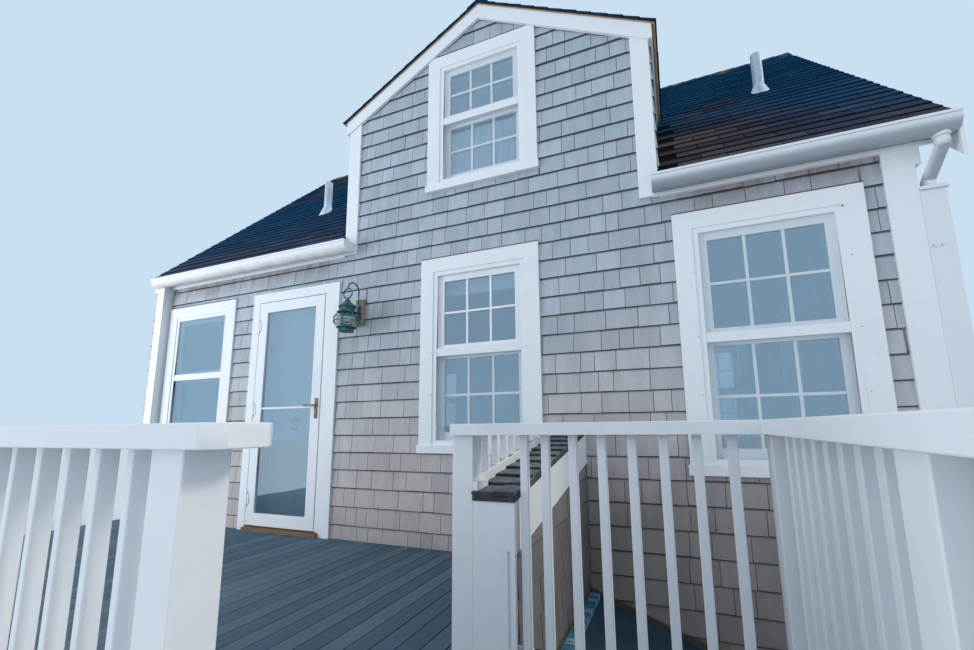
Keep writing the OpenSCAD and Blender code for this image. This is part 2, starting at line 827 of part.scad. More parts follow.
// The dormer window's casing is notched around the rake boards
module front_windows() {
    color("white") {
        for (at = rear_windows_at) window(at);
        difference() {
            window(dormer_window_at);
            dormer_rakes(seat);
        }
    }
}

module side_and_rear_windows() {
    color("white") {
        to_gable() for (at = gable_windows_at) window(at);
        to_rear() for (at = rear_windows_at) window(at);
    }
}

module window_glass() {
    color("lightblue", 0.5) {
        for (at = front_windows_at) window_panes(at);
        to_gable() for (at = gable_windows_at) window_panes(at);
        to_rear() for (at = rear_windows_at) window_panes(at);
    }
}

// Doors

// Hinge barrels of a leaf at x and y, with plates on the leaf's face on the given side
module leaf_hinges(x, y, side) {
    for (z = hinges_z) {
        translate([x, y, z]) cylinder(r = hinge_r, h = 90);
        translate([x, side > 0 ? y : y - hinge_off, z]) cube([26, hinge_off, 90]);
    }
}

// The frame's barrels above and below each of the leaf's, with arms to the casing or jamb
module frame_hinges(x, y, arm) {
    for (z0 = hinges_z, z = [z0 - 22.4, z0 + 90.4]) {
        translate([x, y, z]) cylinder(r = hinge_r, h = 22);
        translate([x - arm, y - 2.5, z]) cube([arm, 5, 22]);
    }
}

module door_frame() {
    color("white") {
        // Casing, wider on the latch side
        along_y(-casing_t, 0) difference() {
            translate([door_l - door_casing_w, deck_z])
                square([door_casing_r - door_l + door_casing_w, door_top - deck_z + door_casing_w]);
            translate([door_l, deck_z - 1]) square([door_r - door_l, door_top - deck_z + 1]);
        }
        // Jambs through the wall, standing on the threshold
        along_y(0, wall_t) difference() {
            translate([door_l - jamb_t, floor_z])
                square([door_r - door_l + 2 * jamb_t, door_top + jamb_t - floor_z]);
            translate([door_l, floor_z - 1]) square([door_r - door_l, door_top - floor_z + 1]);
        }
        // Closing strip of the storm door
        box([door_r - latch_strip_w, door_r], [-casing_t + 4, 40], [floor_z, door_top]);
        frame_hinges(entry_hinge_x, entry_hinge_y, entry_hinge_x - door_l + 1);
        frame_hinges(storm_hinge_x, storm_hinge_y, storm_hinge_x - door_l + 20);
        for (z0 = hinges_z, z = [z0 - 22.4, z0 + 90.4])
            box([door_l - 20, door_l - 3], [storm_hinge_y - 2.5, 1 - casing_t], [z, z + 22]);
    }
}

module threshold() {
    color("sienna") {
        box([door_l - jamb_t, door_r + jamb_t], [0, wall_t], [deck_z, floor_z]);
        box([door_l, door_r], [-casing_t - 30, 0], [deck_z, floor_z - 8]);
    }
}

module storm_door() {
    color("white") {
        along_y(-casing_t, -casing_t + storm_door_t) difference() {
            translate([leaf_x, leaf_z]) square([storm_door_w, storm_door_h]);
            translate([leaf_x + storm_stile_w, leaf_z + storm_bottom_h])
                square([storm_door_w - 2 * storm_stile_w,
                    storm_door_h - storm_stile_w - storm_bottom_h]);
        }
        box([leaf_x + storm_stile_w, leaf_r - storm_stile_w], [-casing_t + 4, -casing_t + 28],
            [leaf_z + storm_bar_z, leaf_z + storm_bar_z + storm_door_bar_h]);
        leaf_hinges(storm_hinge_x, storm_hinge_y, 1);
    }
}

module storm_door_glass() {
    gy = [-casing_t + (storm_door_t - glass_t) / 2, -casing_t + (storm_door_t + glass_t) / 2];
    gx = [leaf_x + storm_stile_w, leaf_r - storm_stile_w];
    color("lightblue", 0.5) {
        box(gx, gy, [leaf_z + storm_bottom_h, leaf_z + storm_bar_z]);
        box(gx, gy, [leaf_z + storm_bar_z + storm_door_bar_h, leaf_z + storm_door_h - storm_stile_w]);
    }
}

// A plate with a lever on each face of the storm door's latch stile
module storm_door_handle() {
    hx = leaf_r - 36;
    hz = leaf_z + storm_bar_z - 92;
    front = -casing_t;
    back = front + storm_door_t;
    color("darkgoldenrod") {
        box([hx - 16, hx + 16], [front - 6, front], [hz, hz + 176]);
        box([hx - 16, hx + 16], [back, back + 6], [hz, hz + 176]);
        for (side = [[front - 36, front - 6], [back + 6, back + 36]])
            translate([hx, side[0], hz + 112]) rotate([-90, 0, 0]) cylinder(r = 8, h = side[1] - side[0]);
        for (y = [front - 42, back + 30])
            translate([hx - 108, y, hz + 104]) cube([118, 12, 16]);
    }
}

module entry_door() {
    z1 = door_top - door_gap;
    color("white") {
        difference() {
            box([entry_l, entry_r], [entry_y, entry_y + entry_door_t], [leaf_z, z1]);
            // Six sunk panels on the street face
            for (i = [0, 1], p = [[170, 700], [840, 1370], [1500, 1860]])
                box([door_l + 120 + i * 330, door_l + 120 + i * 330 + 260], [entry_y - 1, entry_y + 8],
                    [leaf_z + p[0], leaf_z + p[1]]);
        }
        leaf_hinges(entry_hinge_x, entry_hinge_y, -1);
    }
}

// A ring knocker in the middle of the entry door and a knob at its latch edge
module entry_door_hardware() {
    kx = (door_l + door_r) / 2;
    kz = leaf_z + 880;
    color("goldenrod") {
        translate([kx, entry_y, kz + 40]) rotate([90, 0, 0]) cylinder(r = 24, h = 12);
        translate([kx, entry_y - 18, kz]) rotate([90, 0, 0]) rotate_extrude()
            translate([40, 0]) circle(r = 6, $fn = 20);
        translate([kx, entry_y, kz - 40]) rotate([90, 0, 0]) cylinder(r = 12, h = 14);
        translate([door_r - 70, entry_y, leaf_z + 980]) rotate([90, 0, 0]) cylinder(r = 9, h = 20);
        translate([door_r - 70, entry_y - 20, leaf_z + 980]) rotate([90, 0, 0])
            cylinder(r = 24, h = 22);
    }
}

// Lantern

module lantern_block() {
    color("peru") translate([lantern_x - 38, -45, lantern_z - 113]) cube([76, 45, 226]);
}

// Moves to the bottom middle of the lantern
module at_lantern() {
    translate([lantern_x, -lantern_out, lantern_z - 195]) children();
}

module lantern_metal() {
    cage_r = globe_r + 26;
    arch_r = (lantern_out - 57) / 2;
    arch_z = lantern_z + 172;
    color("darkslategray") {
        // Back plate with the upright of the arm, and a strut to the lantern
        box([lantern_x - 22, lantern_x + 22], [-52, -45], [lantern_z - 62, lantern_z + 53]);
        translate([lantern_x, -57, lantern_z - 40]) cylinder(r = 6, h = arch_z - lantern_z + 40, $fn = 24);
        translate([lantern_x, -lantern_out + 50, lantern_z - 8]) rotate([-90, 0, 0])
            cylinder(r = 5, h = lantern_out - 50 - 52, $fn = 20);
        // Arch of the arm, and the ring that hangs from it
        translate([lantern_x, -57 - arch_r, arch_z]) rotate([90, 0, 90])
            rotate_extrude(angle = 180) translate([arch_r, 0]) circle(r = 6, $fn = 20);
        at_lantern() translate([0, 0, 324]) rotate([90, 0, 0])
            rotate_extrude() translate([arch_z - lantern_z - 129, 0]) circle(r = 5, $fn = 20);
        // Base, and the cap over a vented band
        at_lantern() rotate_extrude() polygon([[0, 0], [60, 0], [60, 10], [52, 14], [52, 27],
            [80, 30], [80, 36], [0, 36]]);
        at_lantern() rotate_extrude() polygon([[0, 157], [80, 157], [80, 163], [60, 166], [60, 203],
            [70, 203], [70, 211], [32, 246], [20, 254], [25, 261], [12, 267], [9, 288], [0, 288]]);
        // Cage of upright wires with two hoops
        at_lantern() for (i = [0 : 7]) rotate([0, 0, 22.5 + i * 45]) rotate([90, 0, 0])
            translate([0, 0, -2]) linear_extrude(4)
                polygon(concat([for (a = [-46 : 7.66 : 46]) [cage_r * cos(a), 97 + 85 * sin(a)]],
                    [for (a = [46 : -7.66 : -46]) [cage_r * cos(a) - 5, 97 + 85 * sin(a)]]));
        at_lantern() for (z = [82, 112]) translate([0, 0, z])
            rotate_extrude() translate([cage_r * 0.984, 0]) circle(r = 3, $fn = 16);
    }
}

module lantern_globe() {
    steps = [-42 : 8 : 38];
    color("lightcyan", 0.5) at_lantern() rotate_extrude()
        polygon(concat([[globe_r * cos(42) - 4, 36], [globe_r * cos(42), 36]],
            [for (a = steps) [globe_r * cos(a), 100 + 91 * sin(a)]],
            [[globe_r * cos(39), 157], [globe_r * cos(39) - 4, 157]],
            [for (i = [10 : -1 : 0]) let (a = -42 + 8 * i) [globe_r * cos(a) - 4, 100 + 91 * sin(a)]]));
}

// Deck

// Room that the knee wall and its front board take out of the landing
module knee_wall_room() {
    z = [0, deck_z + 1];
    box([knee_l, knee_r], [knee_front, 1], z);
    box([knee_l, knee_r + knee_board_t], [knee_front - 1, knee_front + knee_board_t], z);
}

module deck_boards() {
    color("slategray") difference() {
        union() {
            box([-hw, knee_l], [-deck_d, 0], [deck_z - deck_board_t, deck_z]);
            box([landing_l, landing_r], [landing_y, well_y], [deck_z - deck_board_t, deck_z]);
        }
        knee_wall_room();
    }
}

// Joists under the boards, with a beam along every edge
module deck_frame() {
    z = [joist_z, joist_z + joist_h];
    color("burlywood") difference() {
        union() {
            for (i = [0 : 4])
                let (y = -joist_t - i * (deck_d - joist_t) / 4) box([-hw, knee_l], [y, y + joist_t], z);
            for (x = [-hw, knee_l - joist_t]) box([x, x + joist_t], [-deck_d, 0], z);
            for (i = [0 : 3])
                let (y = well_y - joist_t - i * (landing_d - joist_t) / 3)
                    box([y < -deck_d ? landing_l : knee_l, landing_r], [y, y + joist_t], z);
            box([landing_r - joist_t, landing_r], [landing_y, well_y], z);
            box([landing_l, landing_l + joist_t], [landing_y, -deck_d], z);
        }
        knee_wall_room();
    }
}

module deck_legs() {
    color("burlywood") {
        for (i = [0 : deck_bays]) let (x = -hw + i * (knee_l - post_w + hw) / deck_bays)
            box([x, x + post_w], [-deck_d, -deck_d + post_w], [0, joist_z]);
        for (y = [well_y - post_w, (well_y + landing_y - post_w) / 2, landing_y])
            box([landing_r - post_w, landing_r], [y, y + post_w], [0, joist_z]);
        box([landing_l, landing_l + post_w], [landing_y, landing_y + post_w], [0, joist_z]);
    }
}

// White boards that face the edges of the deck
module deck_skirts() {
    z = [joist_z - 20, deck_z - deck_board_t];
    color("white") {
        box([-hw, landing_l - skirt_t], [-deck_d - skirt_t, -deck_d], z);
        box([landing_l - skirt_t, landing_l], [landing_y, -deck_d], z);
        box([landing_l - skirt_t, landing_r + skirt_t], [landing_y - skirt_t, landing_y], z);
        box([landing_r, landing_r + skirt_t], [landing_y, well_y], z);
        box([knee_r, landing_r + skirt_t], [well_y, well_y + skirt_t], z);
    }
}

// Railings

module post(x, y) {
    box([x, x + post_w], [y, y + post_w], [deck_z, cap_z]);
}

bottom_rail_top = deck_z + bottom_rail_z + bottom_rail_h;

module baluster(x, y, w = baluster_w, d = baluster_w) {
    box([x - w / 2, x + w / 2], [y - d / 2, y + d / 2], [bottom_rail_top, cap_z]);
}

module bottom_rail_along_x(x0, x1, y) {
    box([x0, x1], [y - bottom_rail_t / 2, y + bottom_rail_t / 2],
        [deck_z + bottom_rail_z, bottom_rail_top]);
}

// Balusters and a bottom rail between two y, on a line of constant x
module bay_along_y(y0, y1, x) {
    n = round((y1 - y0) / side_baluster_pitch);
    for (i = [0 : n - 1]) baluster(x, y0 + (i + 0.5) * (y1 - y0) / n);
    box([x - bottom_rail_t / 2, x + bottom_rail_t / 2], [y0, y1],
        [deck_z + bottom_rail_z, bottom_rail_top]);
}

module deck_railing() {
    y = deck_rail_y;
    clip = 30;
    end = landing_l + post_w + deck_cap_over;
    open = bay_w - post_w;
    n = floor((open - deck_baluster_w) / deck_baluster_pitch);
    color("white") {
        for (i = [0 : deck_bays]) post(-hw + i * bay_w, y - post_w / 2);
        for (i = [0 : deck_bays - 1])
            let (x = -hw + i * bay_w + post_w) {
                for (k = [1 : n]) baluster(x + k * open / (n + 1), y, deck_baluster_w, deck_baluster_d);
                bottom_rail_along_x(x, x + open, y);
            }
        // Cap with clipped corners at its free end
        translate([0, 0, cap_z]) linear_extrude(cap_t) polygon([
            [-hw, y - cap_w / 2], [end - clip, y - cap_w / 2], [end, y - cap_w / 2 + clip],
            [end, y + cap_w / 2 - clip], [end - clip, y + cap_w / 2], [-hw, y + cap_w / 2]]);
    }
}

// Railing on the house side of the landing, in front of the knee wall's end
module well_railing() {
    x1 = landing_r - post_w;
    knee_gap = 12;
    n = floor((x1 - knee_r - 2 * baluster_w) / baluster_pitch);
    color("white") {
        post(post_x, rail_y - post_w / 2);
        post(x1, rail_y - post_w / 2);
        for (i = [1 : n]) baluster(x1 - i * baluster_pitch, rail_y);
        baluster(knee_roof_r + knee_gap + baluster_w / 2, rail_y);
        bottom_rail_along_x(knee_r, x1, rail_y);
        box([post_x, landing_r + cap_over], [rail_y - cap_w / 2, rail_y + cap_w / 2], [cap_z, cap_top]);
    }
}

// Balusters in front of a closed board, along the landing's outer edge
module side_railing() {
    x = landing_r - post_w / 2;
    y0 = well_y - post_w;
    mid = y0 - side_bay - post_w;
    color("white") {
        post(landing_r - post_w, mid);
        post(landing_r - post_w, landing_y);
        bay_along_y(landing_y + post_w, mid, x);
        bay_along_y(mid + post_w, y0, x);
        for (y = [[landing_y + post_w, mid], [mid + post_w, y0]])
            box([x + baluster_w / 2, x + baluster_w / 2 + 15], y, [deck_z, cap_z]);
        box([x - cap_w / 2, x + cap_w / 2], [landing_y - cap_over, rail_y - cap_w / 2], [cap_z, cap_top]);
    }
}

// Short balustrade that follows the knee wall's roof up to the house
module short_railing() {
    x = [knee_l - bottom_rail_t, knee_l];
    y0 = well_y;
    foot_w = 20;
    foot = [knee_front, knee_front + 107];
    meet = (cap_z - knee_top(0) - skirt_h) / knee_slope;
    color("white") {
        box([post_x, knee_l], [rail_y + cap_w / 2, 0], [cap_z, cap_top]);
        along_x(x[0], x[1]) polygon([[y0, knee_top(y0) - 100], [y0, knee_top(y0) + skirt_h],
            [meet, cap_z], [0, cap_z], [0, knee_top(0) - 100]]);
        // Level block on the roof beside the post
        along_x(knee_l, knee_l + foot_w) polygon([[foot[0], knee_top(foot[0]) + seat],
            [foot[0], knee_foot_z], [foot[1], knee_foot_z], [foot[1], knee_top(foot[1]) + seat]]);
        for (i = [1 : floor((meet - y0) / baluster_pitch)])
            let (y = y0 + i * baluster_pitch - baluster_w)
                along_x(x[0] + 5, x[0] + 5 + baluster_w) polygon([
                    [y, knee_top(y) + skirt_h], [y, cap_z], [y + baluster_w, cap_z],
                    [y + baluster_w, knee_top(y + baluster_w) + skirt_h]]);
    }
}

// Knee wall

module knee_wall() {
    y0 = knee_front + knee_board_t;
    v = knee_roof_t + seat;
    color("darkgray") along_x(knee_l, knee_r)
        polygon([[y0, 0], [0, 0], [0, knee_top(0) - v], [y0, knee_top(y0) - v]]);
}

module knee_wall_roof() {
    y0 = knee_roof_front;
    v = knee_roof_t;
    color("dimgray") along_x(knee_l, knee_roof_r)
        polygon([[y0, knee_top(y0) - v], [0, knee_top(0) - v], [0, knee_top(0)], [y0, knee_top(y0)]]);
}

module knee_wall_boards() {
    y0 = knee_front;
    v = knee_roof_t + seat;
    groove_x = knee_r - 10;
    groove_w = 11;
    groove_top = 199;
    color("white") {
        along_x(knee_r, knee_r + knee_board_t)
            polygon([[y0, knee_top(y0) - v - knee_board_h], [0, knee_top(0) - v - knee_board_h],
                [0, knee_top(0) - v], [y0, knee_top(y0) - v]]);
        // The front board, with a groove down to the deck
        difference() {
            along_x(knee_l, knee_r + knee_board_t)
                polygon([[y0, 0], [y0 + knee_board_t, 0],
                    [y0 + knee_board_t, knee_top(y0 + knee_board_t) - v], [y0, knee_top(y0) - v]]);
            box([groove_x, groove_x + groove_w], [y0 - 1, y0 + groove_w],
                [deck_z, knee_top(y0) - groove_top]);
        }
    }
}

// Sloping hatch in the well, with a flashing along the knee wall and closed sides below it
module cellar_hatch() {
    x = [knee_r, knee_r + hatch_l];
    y = [well_y + skirt_t, 0];
    z = [hatch_z, hatch_z - hatch_l * tan(hatch_pitch)];
    v = hatch_t / cos(hatch_pitch);
    flashing_w = 70;
    flashing_t = 6;
    color("darkslategray") {
        along_y(y[0], y[1]) polygon([[x[0], z[0] - v], [x[1], z[1] - v], [x[1], z[1]], [x[0], z[0]]]);
        along_y(y[0], y[0] + skirt_t)
            polygon([[x[0], 0], [x[1], 0], [x[1], z[1] - v], [x[0], z[0] - v]]);
        along_y(y[0] + skirt_t, y[1])
            polygon([[x[1] - skirt_t, 0], [x[1], 0], [x[1], z[1] - v],
                [x[1] - skirt_t, z[1] - v + skirt_t * tan(hatch_pitch)]]);
        box([x[0], x[0] + flashing_w], y, [z[0] - flashing_w * tan(hatch_pitch), z[0] + flashing_t]);
    }
}

place() foundation();
place() ground_floor();
place() upper_floor();
place() front_wall_base();
place() front_wall_left();
place() front_wall_over_door();
place() front_wall_right();
place() dormer_front_wall();
place() dormer_side_walls();
place() gable_wall();
place() party_wall();
place() rear_wall();
place() front_roof();
place() rear_roof();
place() dormer_roof();
place() ridge_cap();
place() roof_boards();
place() corner_boards();
place() dormer_boards();
place() gutters();
place() downspouts();
place() vent_pipes();
place() front_windows();
place() side_and_rear_windows();
place() window_glass();
place() door_frame();
place() threshold();
place() storm_door();
place() storm_door_glass();
place() storm_door_handle();
place() entry_door();
place() entry_door_hardware();
place() lantern_block();
place() lantern_metal();
place() lantern_globe();
place() deck_boards();
place() deck_frame();
place() deck_legs();
place() deck_skirts();
place() deck_railing();
place() well_railing();
place() side_railing();
place() short_railing();
place() knee_wall();
place() knee_wall_roof();
place() knee_wall_boards();
place() cellar_hatch();
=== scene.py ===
# A shingled beach house at the free end of a row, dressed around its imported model.
# Lengths are metres. X runs along the front, Y into the house and Z up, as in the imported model.
import json
import math
import random

import bpy
from mathutils import Matrix, Vector

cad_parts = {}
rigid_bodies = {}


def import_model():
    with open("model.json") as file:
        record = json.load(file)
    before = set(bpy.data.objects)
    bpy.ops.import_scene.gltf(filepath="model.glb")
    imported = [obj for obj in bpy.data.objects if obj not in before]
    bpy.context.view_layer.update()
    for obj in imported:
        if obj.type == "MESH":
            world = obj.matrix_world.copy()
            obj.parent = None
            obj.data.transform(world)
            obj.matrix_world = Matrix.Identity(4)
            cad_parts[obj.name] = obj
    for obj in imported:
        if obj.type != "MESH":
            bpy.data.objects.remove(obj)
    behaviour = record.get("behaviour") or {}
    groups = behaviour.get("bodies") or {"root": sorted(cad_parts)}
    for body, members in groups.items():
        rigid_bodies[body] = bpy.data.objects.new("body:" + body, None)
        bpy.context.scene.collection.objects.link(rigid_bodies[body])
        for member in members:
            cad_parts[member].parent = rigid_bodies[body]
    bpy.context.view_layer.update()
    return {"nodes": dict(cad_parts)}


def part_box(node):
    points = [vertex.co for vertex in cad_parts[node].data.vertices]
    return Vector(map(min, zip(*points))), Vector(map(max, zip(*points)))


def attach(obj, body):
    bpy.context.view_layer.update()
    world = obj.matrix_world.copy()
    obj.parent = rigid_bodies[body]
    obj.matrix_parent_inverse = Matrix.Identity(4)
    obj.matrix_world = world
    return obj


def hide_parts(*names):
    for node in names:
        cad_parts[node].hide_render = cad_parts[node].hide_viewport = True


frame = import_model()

bpy.context.scene.view_settings.view_transform = "Standard"

# Faces of the house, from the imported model
FRONT_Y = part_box("front_wall_base")[0].y
REAR_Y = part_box("rear_wall")[1].y
GABLE_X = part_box("gable_wall")[1].x
PARTY_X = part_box("party_wall")[0].x
FOUNDATION_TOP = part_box("foundation")[1].z
DECK_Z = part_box("deck_boards")[1].z
DORMER_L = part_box("dormer_side_walls")[0].x
DORMER_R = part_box("dormer_side_walls")[1].x
DORMER_X = (DORMER_L + DORMER_R) / 2
DORMER_BACK_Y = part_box("dormer_side_walls")[1].y
RIDGE_Y = (FRONT_Y + REAR_Y) / 2
ROOF_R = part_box("front_roof")[1].x
EAVE_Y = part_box("front_roof")[0].y
RIDGE_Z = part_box("front_roof")[1].z
DORMER_TOP_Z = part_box("dormer_roof")[1].z
DORMER_EAVE_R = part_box("dormer_roof")[1].x
DORMER_FRONT_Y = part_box("dormer_roof")[0].y

ROOF_PITCH = math.radians(45.5)
DORMER_PITCH = math.radians(28.3)
# Upright heights: the main roof's thickness, and the dormer's roof edge with its rake board
ROOF_V = 0.140 / math.cos(ROOF_PITCH)
RAKE_DROP = 0.145

# Windows: middle along the wall, bottom of the casing, width and height over the casing
PARTY_WINDOW = (-2.511, 1.627, 0.998, 1.504)
MIDDLE_WINDOW = (0.641, 1.643, 0.998, 1.549)
END_WINDOW = (2.575, 1.535, 1.030, 1.671)
DORMER_WINDOW = (0.6675, 3.779, 0.971, 1.262)
CASING_W = 0.115
CASING_T = 0.028
SILL_H = 0.062
STORM_W = 0.034
SASH_W = 0.050
SASH_T = 0.032

# Sides of the knee wall, its white board and roof, and the slope of the hatch that falls away from it
KNEE_L, KNEE_R = 1.262, 1.412
KNEE_BOARD_T = 0.020
KNEE_BOARD_H = 0.190
KNEE_ROOF_T = 0.024
HATCH_TOP_Z = 0.793
HATCH_FALL = 0.352
FLASHING_W = 0.071

# White boards at the corners, and the sides of the boxed downspouts along the front and along the rear
CORNER_BOARD_W = 0.145
SIDE_BOARD_W = 0.090
SIDE_BOARD_FOOT = 3.254
DORMER_BOARD_W = 0.127
DORMER_BOARD_FOOT = 3.366
CHASE_TOP = 3.116
FRONT_PIPE = (-3.147, -3.040)
REAR_PIPE = (3.183, 3.290)

# Left of this the panes are the party window's
PARTY_PANES_X = -1.95
# The weathered patch of the main roof, beside the dormer's foot
DORMER_FOOT = (2.15, 0.15, 3.75)
# A height over the whole house, and a hair's breadth that keeps a face on one side of a plane
OVER_ALL = 9.0
HAIR = 0.001


def roof_top(y):
    """Height of the main roof's front slope at a depth."""
    return RIDGE_Z - (RIDGE_Y - y) * math.tan(ROOF_PITCH)


def roof_depth(z):
    """Depth at which the main roof's front slope has a height."""
    return RIDGE_Y - (RIDGE_Z - z) / math.tan(ROOF_PITCH)


def dormer_top(dx):
    """Height of the dormer roof at a distance from its middle."""
    return DORMER_TOP_Z - dx * math.tan(DORMER_PITCH)


# Lower edge of the frieze, from the roof over the front wall
FRIEZE_BOTTOM = roof_top(FRONT_Y) - 0.217


def linear(code):
    """An sRGB hex colour as the linear values that the shaders read."""
    channels = [int(code[i:i + 2], 16) / 255 for i in (1, 3, 5)]
    return [c / 12.92 if c <= 0.04045 else ((c + 0.055) / 1.055) ** 2.4 for c in channels] + [1.0]


# Materials

def material(name, **sockets):
    """A new material with one Principled shader, whose plain numbers and colours are set on its sockets."""
    made = bpy.data.materials.new(name)
    made.use_nodes = True
    shader = made.node_tree.nodes["Principled BSDF"]
    for key, value in sockets.items():
        shader.inputs[key.replace("_", " ")].default_value = value
    return made


def add(mat, kind, inputs=None, to=None, out=None, stops=None, **settings):
    """Adds a node with its settings, and gives its first output or the ones that out names.

    Inputs are values to set or sockets to link, and to is a shader socket that the output goes to."""
    node = mat.node_tree.nodes.new("ShaderNode" + kind)
    for key, value in settings.items():
        setattr(node, key, value)
    for key, value in (inputs or {}).items():
        if isinstance(value, bpy.types.NodeSocket):
            mat.node_tree.links.new(value, node.inputs[key])
        else:
            node.inputs[key].default_value = value
    if stops:
        ramp = node.color_ramp.elements
        while len(ramp) < len(stops):
            ramp.new(1.0)
        for element, (place, code) in zip(ramp, stops):
            element.position = place
            element.color = linear(code)
    if isinstance(out, tuple):
        return [node.outputs[name] for name in out]
    given = node.outputs[out] if out else next(o for o in node.outputs if o.enabled)
    if to:
        mat.node_tree.links.new(given, mat.node_tree.nodes["Principled BSDF"].inputs[to])
    return given


def weathered_cedar(name, painted_shade_cast):
    """Sawn cedar gone silver: cool above, mauve and brown near the ground, with upright grain.

    The cast is a colour over the whole: painted shade, for a wall that is to look shaded."""
    mat = material(name, Roughness=0.85, IOR=1.5)
    place = add(mat, "TexCoord", out="Object")
    island, normal = add(mat, "NewGeometry", out=("Random Per Island", "Normal"))
    x, y, z = add(mat, "SeparateXYZ", {0: place}, out=("X", "Y", "Z"))
    # Tone by height, with a wandering border
    drift = add(mat, "TexNoise", {"Vector": place, "Scale": 0.9, "Detail": 2.0})
    lifted = add(mat, "Math", {0: drift, 1: 1.3, 2: z}, operation="MULTIPLY_ADD")
    high = add(mat, "MapRange", {"Value": lifted, "From Min": 1.2, "From Max": 4.6})
    tone = add(mat, "ValToRGB", {"Fac": high}, stops=[
        (0.0, "#8d8585"), (0.18, "#b5aeac"), (0.38, "#b9b7b8"), (0.62, "#adb5bd"), (1.0, "#a8b5c0")])
    # Each shingle a little lighter or darker than the next
    each = add(mat, "MapRange", {"Value": island, "To Min": 0.88, "To Max": 1.07})
    # Grain 3 to 6 mm wide and about 150 mm long, in broader stains
    stretch = add(mat, "Mapping", {"Vector": place, "Scale": (220.0, 220.0, 7.0)})
    grain = add(mat, "TexNoise", {"Vector": stretch, "Scale": 1.0, "Detail": 3.0, "Roughness": 0.6})
    stain_place = add(mat, "Mapping", {"Vector": place, "Scale": (14.0, 14.0, 3.0)})
    stain = add(mat, "TexNoise", {"Vector": stain_place, "Scale": 1.0, "Detail": 4.0})
    streaks = add(mat, "Math", {0: grain, 1: stain}, operation="ADD")
    wear_and_painted_shade = add(mat, "MapRange", {"Value": streaks, "From Min": 0.65, "From Max": 1.3,
                                 "To Min": 0.84, "To Max": 1.10})
    # Painted shade: a dark line under the butt of the course above, and dark faces that look down, such as
    # the butts' ends. The shingles' map goes from 0 at a butt to 1 at the next course
    rise = add(mat, "SeparateXYZ", {0: add(mat, "UVMap")}, out="Y")
    under = add(mat, "MapRange", {"Value": rise, "From Min": 0.895, "From Max": 0.955,
                                  "To Min": 1.0, "To Max": 0.26})
    facing = add(mat, "SeparateXYZ", {0: normal}, out="Z")
    below = add(mat, "MapRange", {"Value": facing, "From Min": -0.3, "From Max": -0.8,
                                  "To Min": 1.0, "To Max": 0.16})
    # Painted shade, darker towards the bottom of the wall in the stair well
    sunk = add(mat, "MapRange", {"Value": z, "From Min": 1.25, "From Max": 1.75,
                                 "To Min": 0.58, "To Max": 1.0})
    beside = add(mat, "Math", {0: x, 1: KNEE_R - HAIR}, operation="LESS_THAN")
    behind = add(mat, "Math", {0: y, 1: FRONT_Y + HAIR}, operation="GREATER_THAN")
    out_of_well = add(mat, "Math", {0: beside, 1: behind}, operation="MAXIMUM")
    well_shade = add(mat, "Math", {0: sunk, 1: out_of_well}, operation="MAXIMUM")
    for factor in (each, under, below, well_shade):
        wear_and_painted_shade = add(mat, "Math", {0: wear_and_painted_shade, 1: factor}, operation="MULTIPLY")
    # Brown courses that the eaves beside the dormer keep from the rain
    sheltered = add(mat, "MapRange", {"Value": z, "From Min": 3.17, "From Max": 3.33})
    off_middle = add(mat, "Math", {0: x, 1: DORMER_X}, operation="SUBTRACT")
    far_off = add(mat, "Math", {0: off_middle}, operation="ABSOLUTE")
    outside = add(mat, "MapRange", {"Value": far_off, "From Min": DORMER_R - DORMER_X, "From Max": 1.6})
    on_front = add(mat, "Math", {0: y, 1: FRONT_Y + HAIR}, operation="LESS_THAN")
    brown = add(mat, "MapRange", {"Value": stain, "From Min": 0.30, "From Max": 0.55, "To Max": 0.85})
    for factor in (sheltered, outside, on_front):
        brown = add(mat, "Math", {0: brown, 1: factor}, operation="MULTIPLY")
    tone = add(mat, "Mix", {0: brown, 6: tone, 7: linear("#8b7e7d")}, data_type="RGBA")
    # The cast is painted shade over the whole
    for factor in (linear(painted_shade_cast), wear_and_painted_shade):
        tone = add(mat, "Mix", {0: 1.0, 6: tone, 7: factor}, data_type="RGBA", blend_type="MULTIPLY")
    # Moss on the front along the top of the sloping cellar hatch
    hatch_z = add(mat, "Math", {0: x, 1: -HATCH_FALL, 2: HATCH_TOP_Z + KNEE_R * HATCH_FALL},
                  operation="MULTIPLY_ADD")
    above = add(mat, "Math", {0: z, 1: hatch_z}, operation="SUBTRACT")
    low = add(mat, "MapRange", {"Value": above, "From Min": 0.050, "From Max": 0.030})
    damp = add(mat, "Math", {0: low, 1: out_of_well}, operation="SUBTRACT", use_clamp=True)
    add(mat, "Mix", {0: damp, 6: tone, 7: linear("#3f3b2b")}, to="Base Color", data_type="RGBA")
    add(mat, "Bump", {"Height": grain, "Strength": 0.35, "Distance": 0.002}, to="Normal")
    return mat


